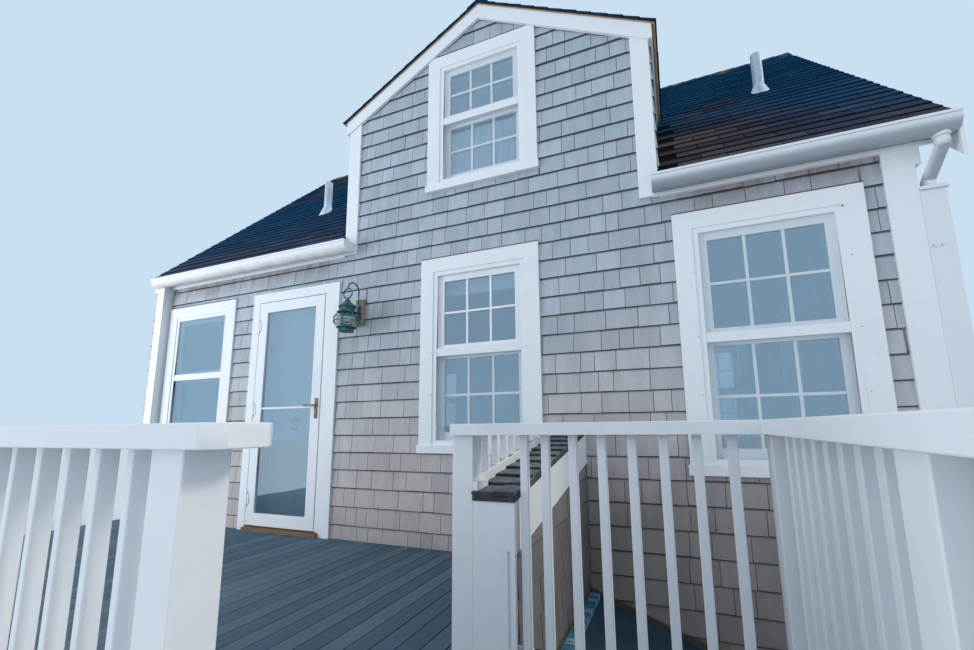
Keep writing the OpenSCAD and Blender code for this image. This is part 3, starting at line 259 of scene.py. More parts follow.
def roof_shingle():
    """Asphalt shingles with grit: blue-black, browner by the dormer's foot, with moss by the ridge."""
    mat = material("asphalt_roof_shingle", Roughness=0.9, IOR=1.5, Specular_IOR_Level=0.0)
    place = add(mat, "TexCoord", out="Object")
    each = add(mat, "NewGeometry", out="Random Per Island")
    height = add(mat, "SeparateXYZ", {0: place}, out="Z")
    up_roof = add(mat, "MapRange", {"Value": height, "From Min": 3.5, "From Max": 5.2})
    blue = add(mat, "ValToRGB", {"Fac": up_roof}, stops=[
        (0.0, "#414a5c"), (0.25, "#2b435c"), (0.6, "#1e4261"), (1.0, "#184160")])
    brown = add(mat, "ValToRGB", {"Fac": each}, stops=[
        (0.0, "#3a3740"), (0.5, "#454148"), (1.0, "#574e4e")])
    patch = add(mat, "TexNoise", {"Vector": place, "Scale": 0.8, "Detail": 4.0})
    aged = add(mat, "MapRange", {"Value": patch, "From Min": 0.54, "From Max": 0.68, "To Max": 0.7})
    away = add(mat, "VectorMath", {0: place, 1: DORMER_FOOT}, operation="DISTANCE")
    foot = add(mat, "MapRange", {"Value": away, "From Min": 1.15, "From Max": 0.35})
    either = add(mat, "Math", {0: aged, 1: foot}, operation="MAXIMUM")
    tone = add(mat, "Mix", {0: either, 6: blue, 7: brown}, data_type="RGBA")
    # Grit of 2 mm, drawn as 5 mm so that it shows
    grit = add(mat, "TexNoise", {"Vector": place, "Scale": 200.0, "Detail": 2.0})
    wear_and_painted_shade = add(mat, "MapRange", {"Value": grit, "From Min": 0.3, "From Max": 0.7,
                                 "To Min": 0.78, "To Max": 1.18})
    # Painted shade: dark along the butts and under the course above
    rise = add(mat, "SeparateXYZ", {0: add(mat, "UVMap")}, out="Y")
    butt = add(mat, "MapRange", {"Value": rise, "From Min": 0.03, "From Max": 0.10,
                                 "To Min": 0.25, "To Max": 1.0})
    under = add(mat, "MapRange", {"Value": rise, "From Min": 0.86, "From Max": 0.96,
                                  "To Min": 1.0, "To Max": 0.45})
    single = add(mat, "MapRange", {"Value": each, "To Min": 0.80, "To Max": 1.16})
    for factor in (butt, under, single):
        wear_and_painted_shade = add(mat, "Math", {0: wear_and_painted_shade, 1: factor}, operation="MULTIPLY")
    grit_and_painted_shade = add(mat, "Mix", {0: 1.0, 6: tone, 7: wear_and_painted_shade}, data_type="RGBA", blend_type="MULTIPLY")
    # Moss in spots below the ridge
    near_ridge = add(mat, "MapRange", {"Value": height, "From Min": 5.5, "From Max": 6.1})
    spots = add(mat, "TexNoise", {"Vector": place, "Scale": 4.0, "Detail": 6.0, "Roughness": 0.7})
    moss = add(mat, "Math", {0: near_ridge, 1: spots}, operation="MULTIPLY")
    mossy = add(mat, "MapRange", {"Value": moss, "From Min": 0.47, "From Max": 0.60, "To Max": 0.75})
    add(mat, "Mix", {0: mossy, 6: grit_and_painted_shade, 7: linear("#7d6c38")}, to="Base Color", data_type="RGBA")
    add(mat, "Bump", {"Height": grit, "Strength": 0.6, "Distance": 0.002}, to="Normal")
    return mat


def mossy_shingle():
    """Old asphalt tabs close to the deck: grey, greener where lichen grows, with painted shade along the
    butts.
    """
    mat = material("lichened_asphalt_shingle", Roughness=0.9, IOR=1.5)
    place = add(mat, "TexCoord", out="Object")
    growth = add(mat, "TexNoise", {"Vector": place, "Scale": 16.0, "Detail": 6.0, "Roughness": 0.7})
    tone = add(mat, "ValToRGB", {"Fac": growth}, stops=[
        (0.35, "#50565f"), (0.52, "#6a7076"), (0.68, "#868a80")])
    # Painted shade along the butts
    rise = add(mat, "SeparateXYZ", {0: add(mat, "UVMap")}, out="Y")
    butt = add(mat, "MapRange", {"Value": rise, "From Min": 0.03, "From Max": 0.12,
                                 "To Min": 0.35, "To Max": 1.0})
    add(mat, "Mix", {0: 1.0, 6: tone, 7: butt}, to="Base Color", data_type="RGBA", blend_type="MULTIPLY")
    add(mat, "Bump", {"Height": growth, "Strength": 0.5, "Distance": 0.003}, to="Normal")
    return mat


def white_paint():
    """Oil paint brushed on sawn boards: satin, with faint brush lines and grey weather stains."""
    mat = material("white_painted_wood", Roughness=0.42, IOR=1.5)
    place = add(mat, "TexCoord", out="Object")
    cloud = add(mat, "TexNoise", {"Vector": place, "Scale": 2.2, "Detail": 6.0, "Roughness": 0.65})
    dirt = add(mat, "MapRange", {"Value": cloud, "From Min": 0.55, "From Max": 0.85, "To Max": 0.6})
    add(mat, "Mix", {0: dirt, 6: linear("#e3e7eb"), 7: linear("#c9cdd0")}, to="Base Color",
        data_type="RGBA")
    brushed = add(mat, "Mapping", {"Vector": place, "Scale": (60.0, 60.0, 9.0)})
    lines = add(mat, "TexNoise", {"Vector": brushed, "Scale": 1.0, "Detail": 3.0})
    add(mat, "Bump", {"Height": lines, "Strength": 0.12, "Distance": 0.002}, to="Normal")
    return mat


def gutter_enamel():
    """White enamelled aluminium: smooth, with rust under the left gutter and painted shade on the underside
    of the right.
    """
    mat = material("white_enamelled_aluminium", Roughness=0.30, IOR=1.5)
    place = add(mat, "TexCoord", out="Object")
    across = add(mat, "SeparateXYZ", {0: place}, out="X")
    facing = add(mat, "SeparateXYZ", {0: add(mat, "NewGeometry", out="Normal")}, out="Z")
    # Rust in runs, where the metal faces down
    below = add(mat, "MapRange", {"Value": facing, "From Min": -0.2, "From Max": -0.95})
    run_place = add(mat, "Mapping", {"Vector": place, "Scale": (9.0, 6.0, 2.0)})
    runs = add(mat, "TexNoise", {"Vector": run_place, "Scale": 1.0, "Detail": 5.0})
    grime = add(mat, "MapRange", {"Value": runs, "From Min": 0.35, "From Max": 0.75, "To Min": 0.2})
    left = add(mat, "MapRange", {"Value": across, "From Min": 0.0, "From Max": -1.0,
                                 "To Min": 0.1, "To Max": 0.5})
    rusty = below
    for factor in (grime, left):
        rusty = add(mat, "Math", {0: rusty, 1: factor}, operation="MULTIPLY")
    rusted = add(mat, "Mix", {0: rusty, 6: linear("#e6eaee"), 7: linear("#a98c70")}, data_type="RGBA")
    # Painted shade on the round underside of the right gutter
    under = add(mat, "MapRange", {"Value": facing, "From Min": 0.10, "From Max": -0.55})
    right = add(mat, "MapRange", {"Value": across, "From Min": 1.0, "From Max": 1.9, "To Max": 0.8})
    painted_underside_shade = add(mat, "Math", {0: under, 1: right}, operation="MULTIPLY")
    add(mat, "Mix", {0: painted_underside_shade, 6: rusted, 7: linear("#7f8b98")}, to="Base Color", data_type="RGBA")
    return mat


def deck_wood():
    """Softwood decking left bare: blue-grey, with dark grain along each board."""
    mat = material("weathered_deck_board", Roughness=0.8, IOR=1.5)
    place = add(mat, "TexCoord", out="Object")
    each = add(mat, "NewGeometry", out="Random Per Island")
    tone = add(mat, "ValToRGB", {"Fac": each}, stops=[(0.0, "#465c6c"), (0.5, "#4f6575"), (1.0, "#5c707d")])
    # Grain about 6 mm wide and 200 mm long
    stretch = add(mat, "Mapping", {"Vector": place, "Scale": (170.0, 5.0, 60.0)})
    grain = add(mat, "TexNoise", {"Vector": stretch, "Scale": 1.0, "Detail": 4.0, "Roughness": 0.6})
    shade = add(mat, "MapRange", {"Value": grain, "From Min": 0.3, "From Max": 0.7,
                                  "To Min": 0.84, "To Max": 1.10})
    add(mat, "Mix", {0: 1.0, 6: tone, 7: shade}, to="Base Color", data_type="RGBA", blend_type="MULTIPLY")
    add(mat, "Bump", {"Height": grain, "Strength": 0.4, "Distance": 0.002}, to="Normal")
    return mat


def bare_timber(name, light, dark, along):
    """Sawn timber without paint: two tones in grain that is stretched along the piece."""
    mat = material(name, Roughness=0.75, IOR=1.5)
    place = add(mat, "TexCoord", out="Object")
    stretch = add(mat, "Mapping", {"Vector": place, "Scale": along})
    grain = add(mat, "TexNoise", {"Vector": stretch, "Scale": 1.0, "Detail": 4.0, "Distortion": 0.6})
    add(mat, "ValToRGB", {"Fac": grain}, to="Base Color", stops=[(0.3, dark), (0.7, light)])
    add(mat, "Bump", {"Height": grain, "Strength": 0.2, "Distance": 0.002}, to="Normal")
    return mat


def dormer_eave():
    """Bare cedar under the dormer's eaves, with the tarred edge of the roof towards the front."""
    mat = bare_timber("cedar_eave_boards", "#c2a688", "#977c62", (60.0, 8.0, 60.0))
    shader = mat.node_tree.nodes["Principled BSDF"]
    timber = shader.inputs["Base Color"].links[0].from_socket
    towards = add(mat, "SeparateXYZ", {0: add(mat, "NewGeometry", out="Normal")}, out="Y")
    edge = add(mat, "Math", {0: towards, 1: -0.5}, operation="LESS_THAN")
    add(mat, "Mix", {0: edge, 6: timber, 7: linear("#20262f")}, to="Base Color", data_type="RGBA")
    return mat


def concrete():
    """Cast concrete from board forms: mottled grey, with pits."""
    mat = material("cast_concrete", Roughness=0.9, IOR=1.5)
    place = add(mat, "TexCoord", out="Object")
    mottle = add(mat, "TexNoise", {"Vector": place, "Scale": 5.0, "Detail": 8.0, "Roughness": 0.65})
    add(mat, "ValToRGB", {"Fac": mottle}, to="Base Color", stops=[(0.3, "#85857f"), (0.7, "#aeada6")])
    pits = add(mat, "TexNoise", {"Vector": place, "Scale": 60.0, "Detail": 3.0})
    add(mat, "Bump", {"Height": pits, "Strength": 0.4, "Distance": 0.004}, to="Normal")
    return mat


def plaster():
    """Painted plasterboard indoors: flat and pale, with a roller's stipple."""
    mat = material("painted_plasterboard", Roughness=0.9, IOR=1.5)
    place = add(mat, "TexCoord", out="Object")
    stipple = add(mat, "TexNoise", {"Vector": place, "Scale": 90.0, "Detail": 2.0})
    add(mat, "ValToRGB", {"Fac": stipple}, to="Base Color", stops=[(0.3, "#8d9296"), (0.7, "#9ba0a3")])
    add(mat, "Bump", {"Height": stipple, "Strength": 0.1, "Distance": 0.001}, to="Normal")
    return mat


def window_pane(name, tint, outer, inner):
    """Float glass: clear and bluish, with a slight wave, and with its surroundings mirrored in it.

    Outer and inner say how strongly panes before and behind the wall's face show. The storm panes of the
    window by the party wall show more than the others."""
    mat = material(name, Base_Color=linear(tint), Roughness=0.0, IOR=1.5, Transmission_Weight=1.0,
                   Metallic=0.75)
    place = add(mat, "TexCoord", out="Object")
    x, y = add(mat, "SeparateXYZ", {0: place}, out=("X", "Y"))
    storm = add(mat, "MapRange", {"Value": x, "From Min": PARTY_PANES_X, "From Max": PARTY_PANES_X + 0.05,
                                  "To Min": max(outer, 0.52), "To Max": outer})
    add(mat, "MapRange", {"Value": y, "From Min": FRONT_Y - 0.002, "From Max": FRONT_Y + 0.006,
                          "To Min": storm, "To Max": inner}, to="Alpha")
    wave = add(mat, "TexNoise", {"Vector": place, "Scale": 3.0, "Detail": 1.0})
    add(mat, "Bump", {"Height": wave, "Strength": 0.05, "Distance": 0.01}, to="Normal")
    return mat


def lantern_glass():
    """Blown seeded glass: thick, faintly green, with small bubbles in the bump."""
    mat = material("blown_seeded_glass", Base_Color=linear("#dfe9ea"), Roughness=0.06, IOR=1.5,
                   Transmission_Weight=1.0)
    place = add(mat, "TexCoord", out="Object")
    seeds = add(mat, "TexNoise", {"Vector": place, "Scale": 70.0, "Detail": 2.0})
    add(mat, "Bump", {"Height": seeds, "Strength": 0.4, "Distance": 0.002}, to="Normal")
    return mat


def verdigris():
    """Copper long in salt air: dark brown metal under blue-green crusts."""
    mat = material("verdigris_copper", Metallic=0.35, Roughness=0.6)
    place = add(mat, "TexCoord", out="Object")
    crust = add(mat, "TexNoise", {"Vector": place, "Scale": 28.0, "Detail": 6.0, "Roughness": 0.7})
    add(mat, "ValToRGB", {"Fac": crust}, to="Base Color", stops=[
        (0.30, "#2b3b3e"), (0.48, "#356067"), (0.62, "#4f858a"), (0.80, "#86aaa8")])
    add(mat, "Bump", {"Height": crust, "Strength": 0.4, "Distance": 0.002}, to="Normal")
    return mat


def cast_metal(name, light, dark, roughness):
    """Cast and handled metal: bright where it is rubbed, dull in between."""
    mat = material(name, Metallic=1.0, Roughness=roughness)
    place = add(mat, "TexCoord", out="Object")
    wear = add(mat, "TexNoise", {"Vector": place, "Scale": 22.0, "Detail": 4.0})
    add(mat, "ValToRGB", {"Fac": wear}, to="Base Color", stops=[(0.35, dark), (0.65, light)])
    return mat


def vent_pipe():
    """Pipe sleeved in pale lead: chalky, with grey runs down it."""
    mat = material("painted_lead_sleeve", Roughness=0.5, IOR=1.5)
    place = add(mat, "TexCoord", out="Object")
    stretch = add(mat, "Mapping", {"Vector": place, "Scale": (18.0, 18.0, 3.0)})
    runs = add(mat, "TexNoise", {"Vector": stretch, "Scale": 1.0, "Detail": 5.0})
    add(mat, "ValToRGB", {"Fac": runs}, to="Base Color", stops=[(0.30, "#9aabba"), (0.55, "#c6d8e7")])
    return mat


def shade_cloth():
    """Woven curtain cotton behind the glass: pale, with a fine weave."""
    mat = material("woven_curtain_cotton", Roughness=0.95, IOR=1.5, Sheen_Weight=0.3)
    place = add(mat, "TexCoord", out="Object")
    weave = add(mat, "TexNoise", {"Vector": place, "Scale": 260.0, "Detail": 2.0})
    add(mat, "ValToRGB", {"Fac": weave}, to="Base Color", stops=[(0.3, "#d3dce2"), (0.7, "#edf1f3")])
    add(mat, "Bump", {"Height": weave, "Strength": 0.3, "Distance": 0.001}, to="Normal")
    return mat


def hatch_paint():
    """Dark painted hatch boards, with zinc flashing beside the knee wall streaked with painted reflection
    of the sky and balusters.
    """
    mat = material("dark_painted_hatch", Roughness=0.45, IOR=1.5)
    place = add(mat, "TexCoord", out="Object")
    across = add(mat, "SeparateXYZ", {0: place}, out="X")
    cloud = add(mat, "TexNoise", {"Vector": place, "Scale": 9.0, "Detail": 5.0})
    paint = add(mat, "ValToRGB", {"Fac": cloud}, stops=[(0.35, "#1b3643"), (0.65, "#264654")])
    # Pale blue streaks on the flashing: painted reflection of the sky and the balusters
    stretch = add(mat, "Mapping", {"Vector": place, "Scale": (5.0, 38.0, 5.0)})
    runs = add(mat, "TexNoise", {"Vector": stretch, "Scale": 1.0, "Detail": 4.0})
    zinc_with_painted_reflection = add(mat, "ValToRGB", {"Fac": runs}, stops=[
        (0.38, "#2d5f80"), (0.54, "#4a7f9f"), (0.68, "#9dbccd")])
    flashing = add(mat, "Math", {0: across, 1: KNEE_R + FLASHING_W}, operation="LESS_THAN")
    add(mat, "Mix", {0: flashing, 6: paint, 7: zinc_with_painted_reflection}, to="Base Color", data_type="RGBA")
    add(mat, "Bump", {"Height": cloud, "Strength": 0.2, "Distance": 0.002}, to="Normal")
    return mat


CEDAR = weathered_cedar("weathered_cedar_shingle", "#ffffff")
# A copy darkened all over with painted shade, for the knee wall
SHADED_CEDAR = weathered_cedar("shaded_cedar_shingle", "#c3c3c9")
ASPHALT = roof_shingle()
MOSSY = mossy_shingle()
PAINT = white_paint()
ENAMEL = gutter_enamel()
DECKING = deck_wood()
SOFFIT = dormer_eave()
FRAMING = bare_timber("sawn_pine_framing", "#9d8a6f", "#7a6850", (8.0, 8.0, 90.0))
FLOORING = bare_timber("oak_floorboards", "#8f7350", "#6b5238", (120.0, 6.0, 60.0))
BLOCK = bare_timber("unpainted_pine_block", "#a5917e", "#7a6b5d", (90.0, 90.0, 8.0))
SILL_STAIN = bare_timber("weathered_oak_threshold", "#8f7562", "#665040", (6.0, 90.0, 90.0))
CONCRETE = concrete()
PLASTER = plaster()
PANE = window_pane("coated_float_glass", "#c9dfec", 0.10, 0.45)
DOOR_PANE = window_pane("coated_door_glass", "#cbe0ec", 0.60, 0.60)
GLOBE = lantern_glass()
VERDIGRIS = verdigris()
BRONZE = cast_metal("cast_bronze", "#b6a196", "#86736a", 0.42)
BRASS = cast_metal("polished_brass", "#cfa85a", "#8c6a30", 0.25)
LEAD = vent_pipe()
CLOTH = shade_cloth()
HATCH = hatch_paint()
DRIP_CAP = cast_metal("painted_copper_drip_cap", "#9a6e66", "#7a4f48", 0.6)
SCREW = cast_metal("zinc_screw", "#7d7f80", "#4c4e50", 0.45)

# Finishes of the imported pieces
for finish_of, node_names in (
        (CONCRETE, "foundation"),
        (FLOORING, "ground_floor upper_floor"),
        (PLASTER, "front_wall_base front_wall_left front_wall_over_door front_wall_right dormer_front_wall "
                  "dormer_side_walls gable_wall party_wall rear_wall knee_wall"),
        (ASPHALT, "front_roof rear_roof ridge_cap"),
        (SOFFIT, "dormer_roof"),
        (MOSSY, "knee_wall_roof"),
        (PAINT, "roof_boards corner_boards dormer_boards front_windows side_and_rear_windows door_frame "
                "storm_door entry_door deck_skirts deck_railing well_railing side_railing short_railing "
                "knee_wall_boards"),
        (ENAMEL, "gutters downspouts"),
        (LEAD, "vent_pipes"),
        (PANE, "window_glass"),
        (DOOR_PANE, "storm_door_glass"),
        (SILL_STAIN, "threshold"),
        (BRONZE, "storm_door_handle"),
        (BRASS, "entry_door_hardware"),
        (BLOCK, "lantern_block"),
        (VERDIGRIS, "lantern_metal"),
        (GLOBE, "lantern_globe"),
        (DECKING, "deck_boards"),
        (FRAMING, "deck_frame deck_legs"),
        (HATCH, "cellar_hatch")):
    for node_name in node_names.split():
        for slot in frame["nodes"][node_name].material_slots:
            slot.link = "OBJECT"
            slot.material = finish_of


def bevel(piece, width):
    """Rounds a piece's sharp edges with a modifier."""
    eased = piece.modifiers.new("eased", "BEVEL")
    eased.width = width
    eased.segments = 2
    eased.limit_method = "ANGLE"
    return eased


def ease_edges(node_name):
    """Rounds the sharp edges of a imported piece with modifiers, as sanding and paint do."""
    piece = frame["nodes"][node_name]
    weld = piece.modifiers.new("weld", "WELD")
    weld.merge_threshold = 0.0001
    flat = piece.modifiers.new("flat", "DECIMATE")
    flat.decimate_type = "DISSOLVE"
    flat.angle_limit = math.radians(1.0)
    eased = bevel(piece, 0.0025)
    eased.angle_limit = math.radians(35.0)
    eased.use_clamp_overlap = False


for node_name in ("roof_boards", "corner_boards", "dormer_boards", "front_windows", "side_and_rear_windows",
                  "storm_door", "deck_skirts", "deck_railing", "well_railing", "side_railing",
                  "short_railing", "knee_wall_boards"):
    ease_edges(node_name)


# Making solids

def new_object(name, data):
    """A new object in the scene."""
    made = bpy.data.objects.new(name, data)
    bpy.context.scene.collection.objects.link(made)
    return made


class Solids:
    """Collects closed solids, then makes one object of them."""

    def __init__(self):
        self.points, self.faces, self.uvs = [], [], []

    def prism(self, near, far, uv=None):
        """A solid between two like outlines of points, the near one seen from outside."""
        start, n = len(self.points), len(near)
        self.points += list(near) + list(far)
        rings = [list(range(n)), list(range(2 * n - 1, n - 1, -1))]
        rings += [[i, n + i, n + (i + 1) % n, (i + 1) % n] for i in range(n)]
        self.faces += [[start + i for i in ring] for ring in rings]
        self.uvs += [[(uv or [(0.0, 0.5)] * n)[i % n] for i in ring] for ring in rings]

    def box(self, x, y, z):
        """A box between pairs of coordinates."""
        near = [(x[0], y[0], z[0]), (x[1], y[0], z[0]), (x[1], y[0], z[1]), (x[0], y[0], z[1])]
        self.prism(near, [(a, y[1], c) for a, _, c in near])

    def make(self, name, mat, body="house", eased=0.0, replaces=()):
        """One piece of all the solids, with its finish and the body that carries it."""
        mesh = bpy.data.meshes.new(name)
        mesh.from_pydata(self.points, [], self.faces)
        layer = mesh.uv_layers.new(name="courses")
        flat = [c for face in self.uvs for uv in face for c in uv]
        layer.data.foreach_set("uv", flat)
        mesh.materials.append(mat)
        piece = new_object(name, mesh)
        if eased:
            bevel(piece, eased)
        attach(piece, body)
        if replaces:
            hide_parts(*replaces)
        return piece


class Face:
    """A flat side of the house, with places on it given along it, up it and out of it."""

    def __init__(self, origin, along, up):
        self.origin, self.along, self.up = Vector(origin), Vector(along), Vector(up)
        self.out = self.along.cross(self.up)

    def at(self, u, v, w):
        """The point at a distance along the face, up it and out of it."""
        return self.origin + u * self.along + v * self.up + w * self.out


def cut_off(outline, a, b):
    """The part of a convex outline on the left of the line from a to b."""
    kept = []
    side = [(b[0] - a[0]) * (p[1] - a[1]) - (b[1] - a[1]) * (p[0] - a[0]) for p in outline]
    for i, p in enumerate(outline):
        q, s, t = outline[i - 1], side[i - 1], side[i]
        if (s < 0) != (t < 0):
            share = s / (s - t)
            kept.append((q[0] + (p[0] - q[0]) * share, q[1] + (p[1] - q[1]) * share))
        if t >= 0:
            kept.append(p)
    return kept


def around_holes(u0, u1, v0, v1, holes):
    """A rectangle less some rectangles, as rectangles."""
    cuts = sorted({u0, u1} | {u for h in holes for u in h[:2] if u0 < u < u1 and h[2] < v1 and h[3] > v0})
    pieces = []
    for a, b in zip(cuts, cuts[1:]):
        spans = [(v0, v1)]
        for h in holes:
            if h[0] < (a + b) / 2 < h[1]:
                parts = [part for lo, hi in spans for part in ((lo, min(hi, h[2])), (max(lo, h[3]), hi))]
                spans = [part for part in parts if part[1] > part[0]]
        pieces += [(a, b, lo, hi) for lo, hi in spans]
    return pieces


def lay_courses(solids, face, outline, holes, butts, widths, gap, butt, head, seed, skip=None,
                ragged=0.002, bond=None):
    """Lays courses of shingles or tabs on a face, inside a convex outline and around holes.

    Butts are the places of the courses' lower edges. Butt and head are how far the exposed part stands out
    at its foot and at its top. With a bond, courses start that far out of step, and otherwise anywhere."""
    draw = random.Random(seed)
    low, high = min(v for u, v in outline), max(v for u, v in outline)
    left, right = min(u for u, v in outline), max(u for u, v in outline)
    # How far each runs up under the next course, and the least offcut that is laid
    lap = least = 0.012
    for course, (v0, following) in enumerate(zip(butts, butts[1:])):
        exposure = following - v0
        v1 = following + lap
        if v1 < low or v0 > high:
            continue
        if bond:
            u = left - (bond * (course % 2) + draw.uniform(-0.01, 0.01))
        else:
            u = left - draw.uniform(0.0, widths[1])
        while u < right:
            # Each has its own width, and hangs, stands out and leans a little differently
            width = draw.uniform(*widths)
            drop, out = draw.uniform(-ragged, ragged), draw.uniform(-0.0012, 0.0012)
            skew = draw.uniform(-ragged, ragged) / 2
            a, b = u + gap / 2, u + width - gap / 2
            u += width
            if skip and skip((a + b) / 2, (v0 + v1) / 2):
                continue
            for a1, b1, lo, hi in around_holes(a, b, v0 + drop, v1, holes):
                shape = [(a1, lo), (b1, lo + (skew if lo == v0 + drop else 0.0)), (b1, hi), (a1, hi)]
                for p, q in zip(outline, outline[1:] + outline[:1]):
                    shape = cut_off(shape, p, q) if shape else shape
                if len(shape) < 3:
                    continue
                wide = max(p[0] for p in shape) - min(p[0] for p in shape)
                tall = max(p[1] for p in shape) - min(p[1] for p in shape)
                if wide < least or tall < least:
                    continue
                rise = [(p[1] - v0) / exposure for p in shape]
                front = [face.at(p[0], p[1], butt + out + (head - butt) * min(r, 1.08))
                         for p, r in zip(shape, rise)]
                back = [face.at(p[0], p[1], 0.0) for p in shape]
                solids.prism(front, back, uv=[(p[0], r) for p, r in zip(shape, rise)])


# Places on the faces
FRONT = Face((0, FRONT_Y, 0), (1, 0, 0), (0, 0, 1))
REAR = Face((0, REAR_Y, 0), (-1, 0, 0), (0, 0, 1))
GABLE = Face((GABLE_X, 0, 0), (0, 1, 0), (0, 0, 1))
CHEEK_R = Face((DORMER_R, 0, 0), (0, 1, 0), (0, 0, 1))
CHEEK_L = Face((DORMER_L, 0, 0), (0, -1, 0), (0, 0, 1))
SLOPE = (math.cos(ROOF_PITCH), math.sin(ROOF_PITCH))
FRONT_SLOPE = Face((0, FRONT_Y, roof_top(FRONT_Y)), (1, 0, 0), (0, SLOPE[0], SLOPE[1]))
REAR_SLOPE = Face((0, REAR_Y, roof_top(FRONT_Y)), (-1, 0, 0), (0, -SLOPE[0], SLOPE[1]))
D_SLOPE = (math.cos(DORMER_PITCH), math.sin(DORMER_PITCH))
DORMER_HALF = DORMER_EAVE_R - DORMER_X
DORMER_SLOPE_R = Face((DORMER_EAVE_R, 0, dormer_top(DORMER_HALF)), (0, 1, 0), (-D_SLOPE[0], 0, D_SLOPE[1]))
DORMER_SLOPE_L = Face((DORMER_X - DORMER_HALF, 0, dormer_top(DORMER_HALF)), (0, -1, 0),
                      (D_SLOPE[0], 0, D_SLOPE[1]))

# Butts of the wall's courses, counted from one that runs behind the gutters
DORMER_COURSE, WALL_COURSE, FOOT_COURSE = 0.1336, 0.1395, 0.146
FOOT_Z, TOP_Z = 1.6, 6.2
WALL_BUTTS = [3.458]
while WALL_BUTTS[0] > 0.0:
    WALL_BUTTS.insert(0, WALL_BUTTS[0] - (WALL_COURSE if WALL_BUTTS[0] > FOOT_Z else FOOT_COURSE))
while WALL_BUTTS[-1] < TOP_Z:
    WALL_BUTTS.append(WALL_BUTTS[-1] + DORMER_COURSE)
ROOF_COURSE = 0.127
# How far the lowest tabs stand over the edge of the dormer's and the knee wall's roof
TAB_OVER = 0.010


def window_gap(window, sideways=1):
    """The rectangle that a window's casing and sill take out of the shingles."""
    x, z, w, h = window
    x *= sideways
    return (x - w / 2 - HAIR, x + w / 2 + HAIR, z, z + h)


def box_gap(node_name):
    """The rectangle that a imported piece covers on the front."""
    lo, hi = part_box(node_name)
    return (lo.x, hi.x, lo.z, hi.z)


def lay_shingles(solids, face, outline, holes, seed):
    """Cedar shingles on an upright face, in the courses that run round the house."""
    lay_courses(solids, face, outline, holes, WALL_BUTTS, widths=(0.085, 0.235), gap=0.004,
                butt=0.016, head=0.005, seed=seed)


def lay_tabs(solids, face, outline, holes, seed, skip=None):
    """Asphalt tabs on a slope, each half over its neighbour in the course below."""
    butts = [outline[0][1] + i * ROOF_COURSE for i in range(48)]
    lay_courses(solids, face, outline, holes, butts, widths=(0.300, 0.306), gap=0.006,
                butt=0.009, head=0.003, seed=seed, skip=skip, ragged=0.0025, bond=0.15)


def front_shingles():
    """Shingles of the front wall and of the dormer above it, with the courses running through."""
    top = dormer_top(0.0) - RAKE_DROP
    side = GABLE_X - DORMER_X
    fall = math.tan(DORMER_PITCH)
    outline = [(PARTY_X, FOUNDATION_TOP), (GABLE_X, FOUNDATION_TOP), (GABLE_X, top - side * fall),
               (DORMER_X, top), (PARTY_X, top - (DORMER_X - PARTY_X) * fall)]
    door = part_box("door_frame")
    holes = [window_gap(w) for w in (PARTY_WINDOW, MIDDLE_WINDOW, END_WINDOW, DORMER_WINDOW)]
    # Door, corner board, friezes, the dormer's boards, deck, knee wall, downspout and the lantern's block
    holes += [
        (door[0].x, door[1].x, DECK_Z - 0.01, door[1].z),
        (GABLE_X - CORNER_BOARD_W, GABLE_X, 0.0, FRIEZE_BOTTOM),
        (PARTY_X - 1, DORMER_L, FRIEZE_BOTTOM, OVER_ALL),
        (DORMER_R, GABLE_X + 1, FRIEZE_BOTTOM, OVER_ALL),
        (DORMER_L, DORMER_L + DORMER_BOARD_W, DORMER_BOARD_FOOT, OVER_ALL),
        (DORMER_R - DORMER_BOARD_W, DORMER_R, DORMER_BOARD_FOOT, OVER_ALL),
        (PARTY_X, KNEE_L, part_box("deck_frame")[0].z, DECK_Z + 0.002),
        (KNEE_L, KNEE_R + KNEE_BOARD_T, 0.0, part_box("knee_wall_roof")[1].z),
        FRONT_PIPE + (DECK_Z, OVER_ALL),
        box_gap("lantern_block"),
    ]
    solids = Solids()
    lay_shingles(solids, FRONT, outline, holes, seed=11)
    solids.make("front_shingles", CEDAR)


def gable_shingles():
    """Shingles of the free gable, up to the rafters."""
    y0, y1 = FRONT_Y, REAR_Y - SIDE_BOARD_W
    outline = [(y0, FOUNDATION_TOP), (y1, FOUNDATION_TOP), (y1, roof_top(y0 + SIDE_BOARD_W) - ROOF_V),
               (RIDGE_Y, RIDGE_Z - ROOF_V), (y0, roof_top(y0) - ROOF_V)]
    holes = [(RIDGE_Y - w / 2, RIDGE_Y + w / 2, z, z + h) for _, z, w, h in (MIDDLE_WINDOW, DORMER_WINDOW)]
    # The boxed chase and the board above it
    board_y = y0 + (SIDE_BOARD_W + HAIR)
    holes += [(y0 - 1, board_y, 0.0, CHASE_TOP), (y0 - 1, board_y, SIDE_BOARD_FOOT, OVER_ALL)]
    solids = Solids()
    lay_shingles(solids, GABLE, outline, holes, seed=12)
    solids.make("gable_shingles", CEDAR)


def rear_shingles():
    """Shingles of the rear wall."""
    outline = [(-GABLE_X, FOUNDATION_TOP), (-PARTY_X, FOUNDATION_TOP), (-PARTY_X, FRIEZE_BOTTOM),
               (-GABLE_X, FRIEZE_BOTTOM)]
    holes = [window_gap(w, -1) for w in (PARTY_WINDOW, MIDDLE_WINDOW, END_WINDOW)]
    holes += [(-GABLE_X, -GABLE_X + CORNER_BOARD_W, 0.0, OVER_ALL), REAR_PIPE + (0.0, OVER_ALL)]
    solids = Solids()
    lay_shingles(solids, REAR, outline, holes, seed=13)
    solids.make("rear_shingles", CEDAR)


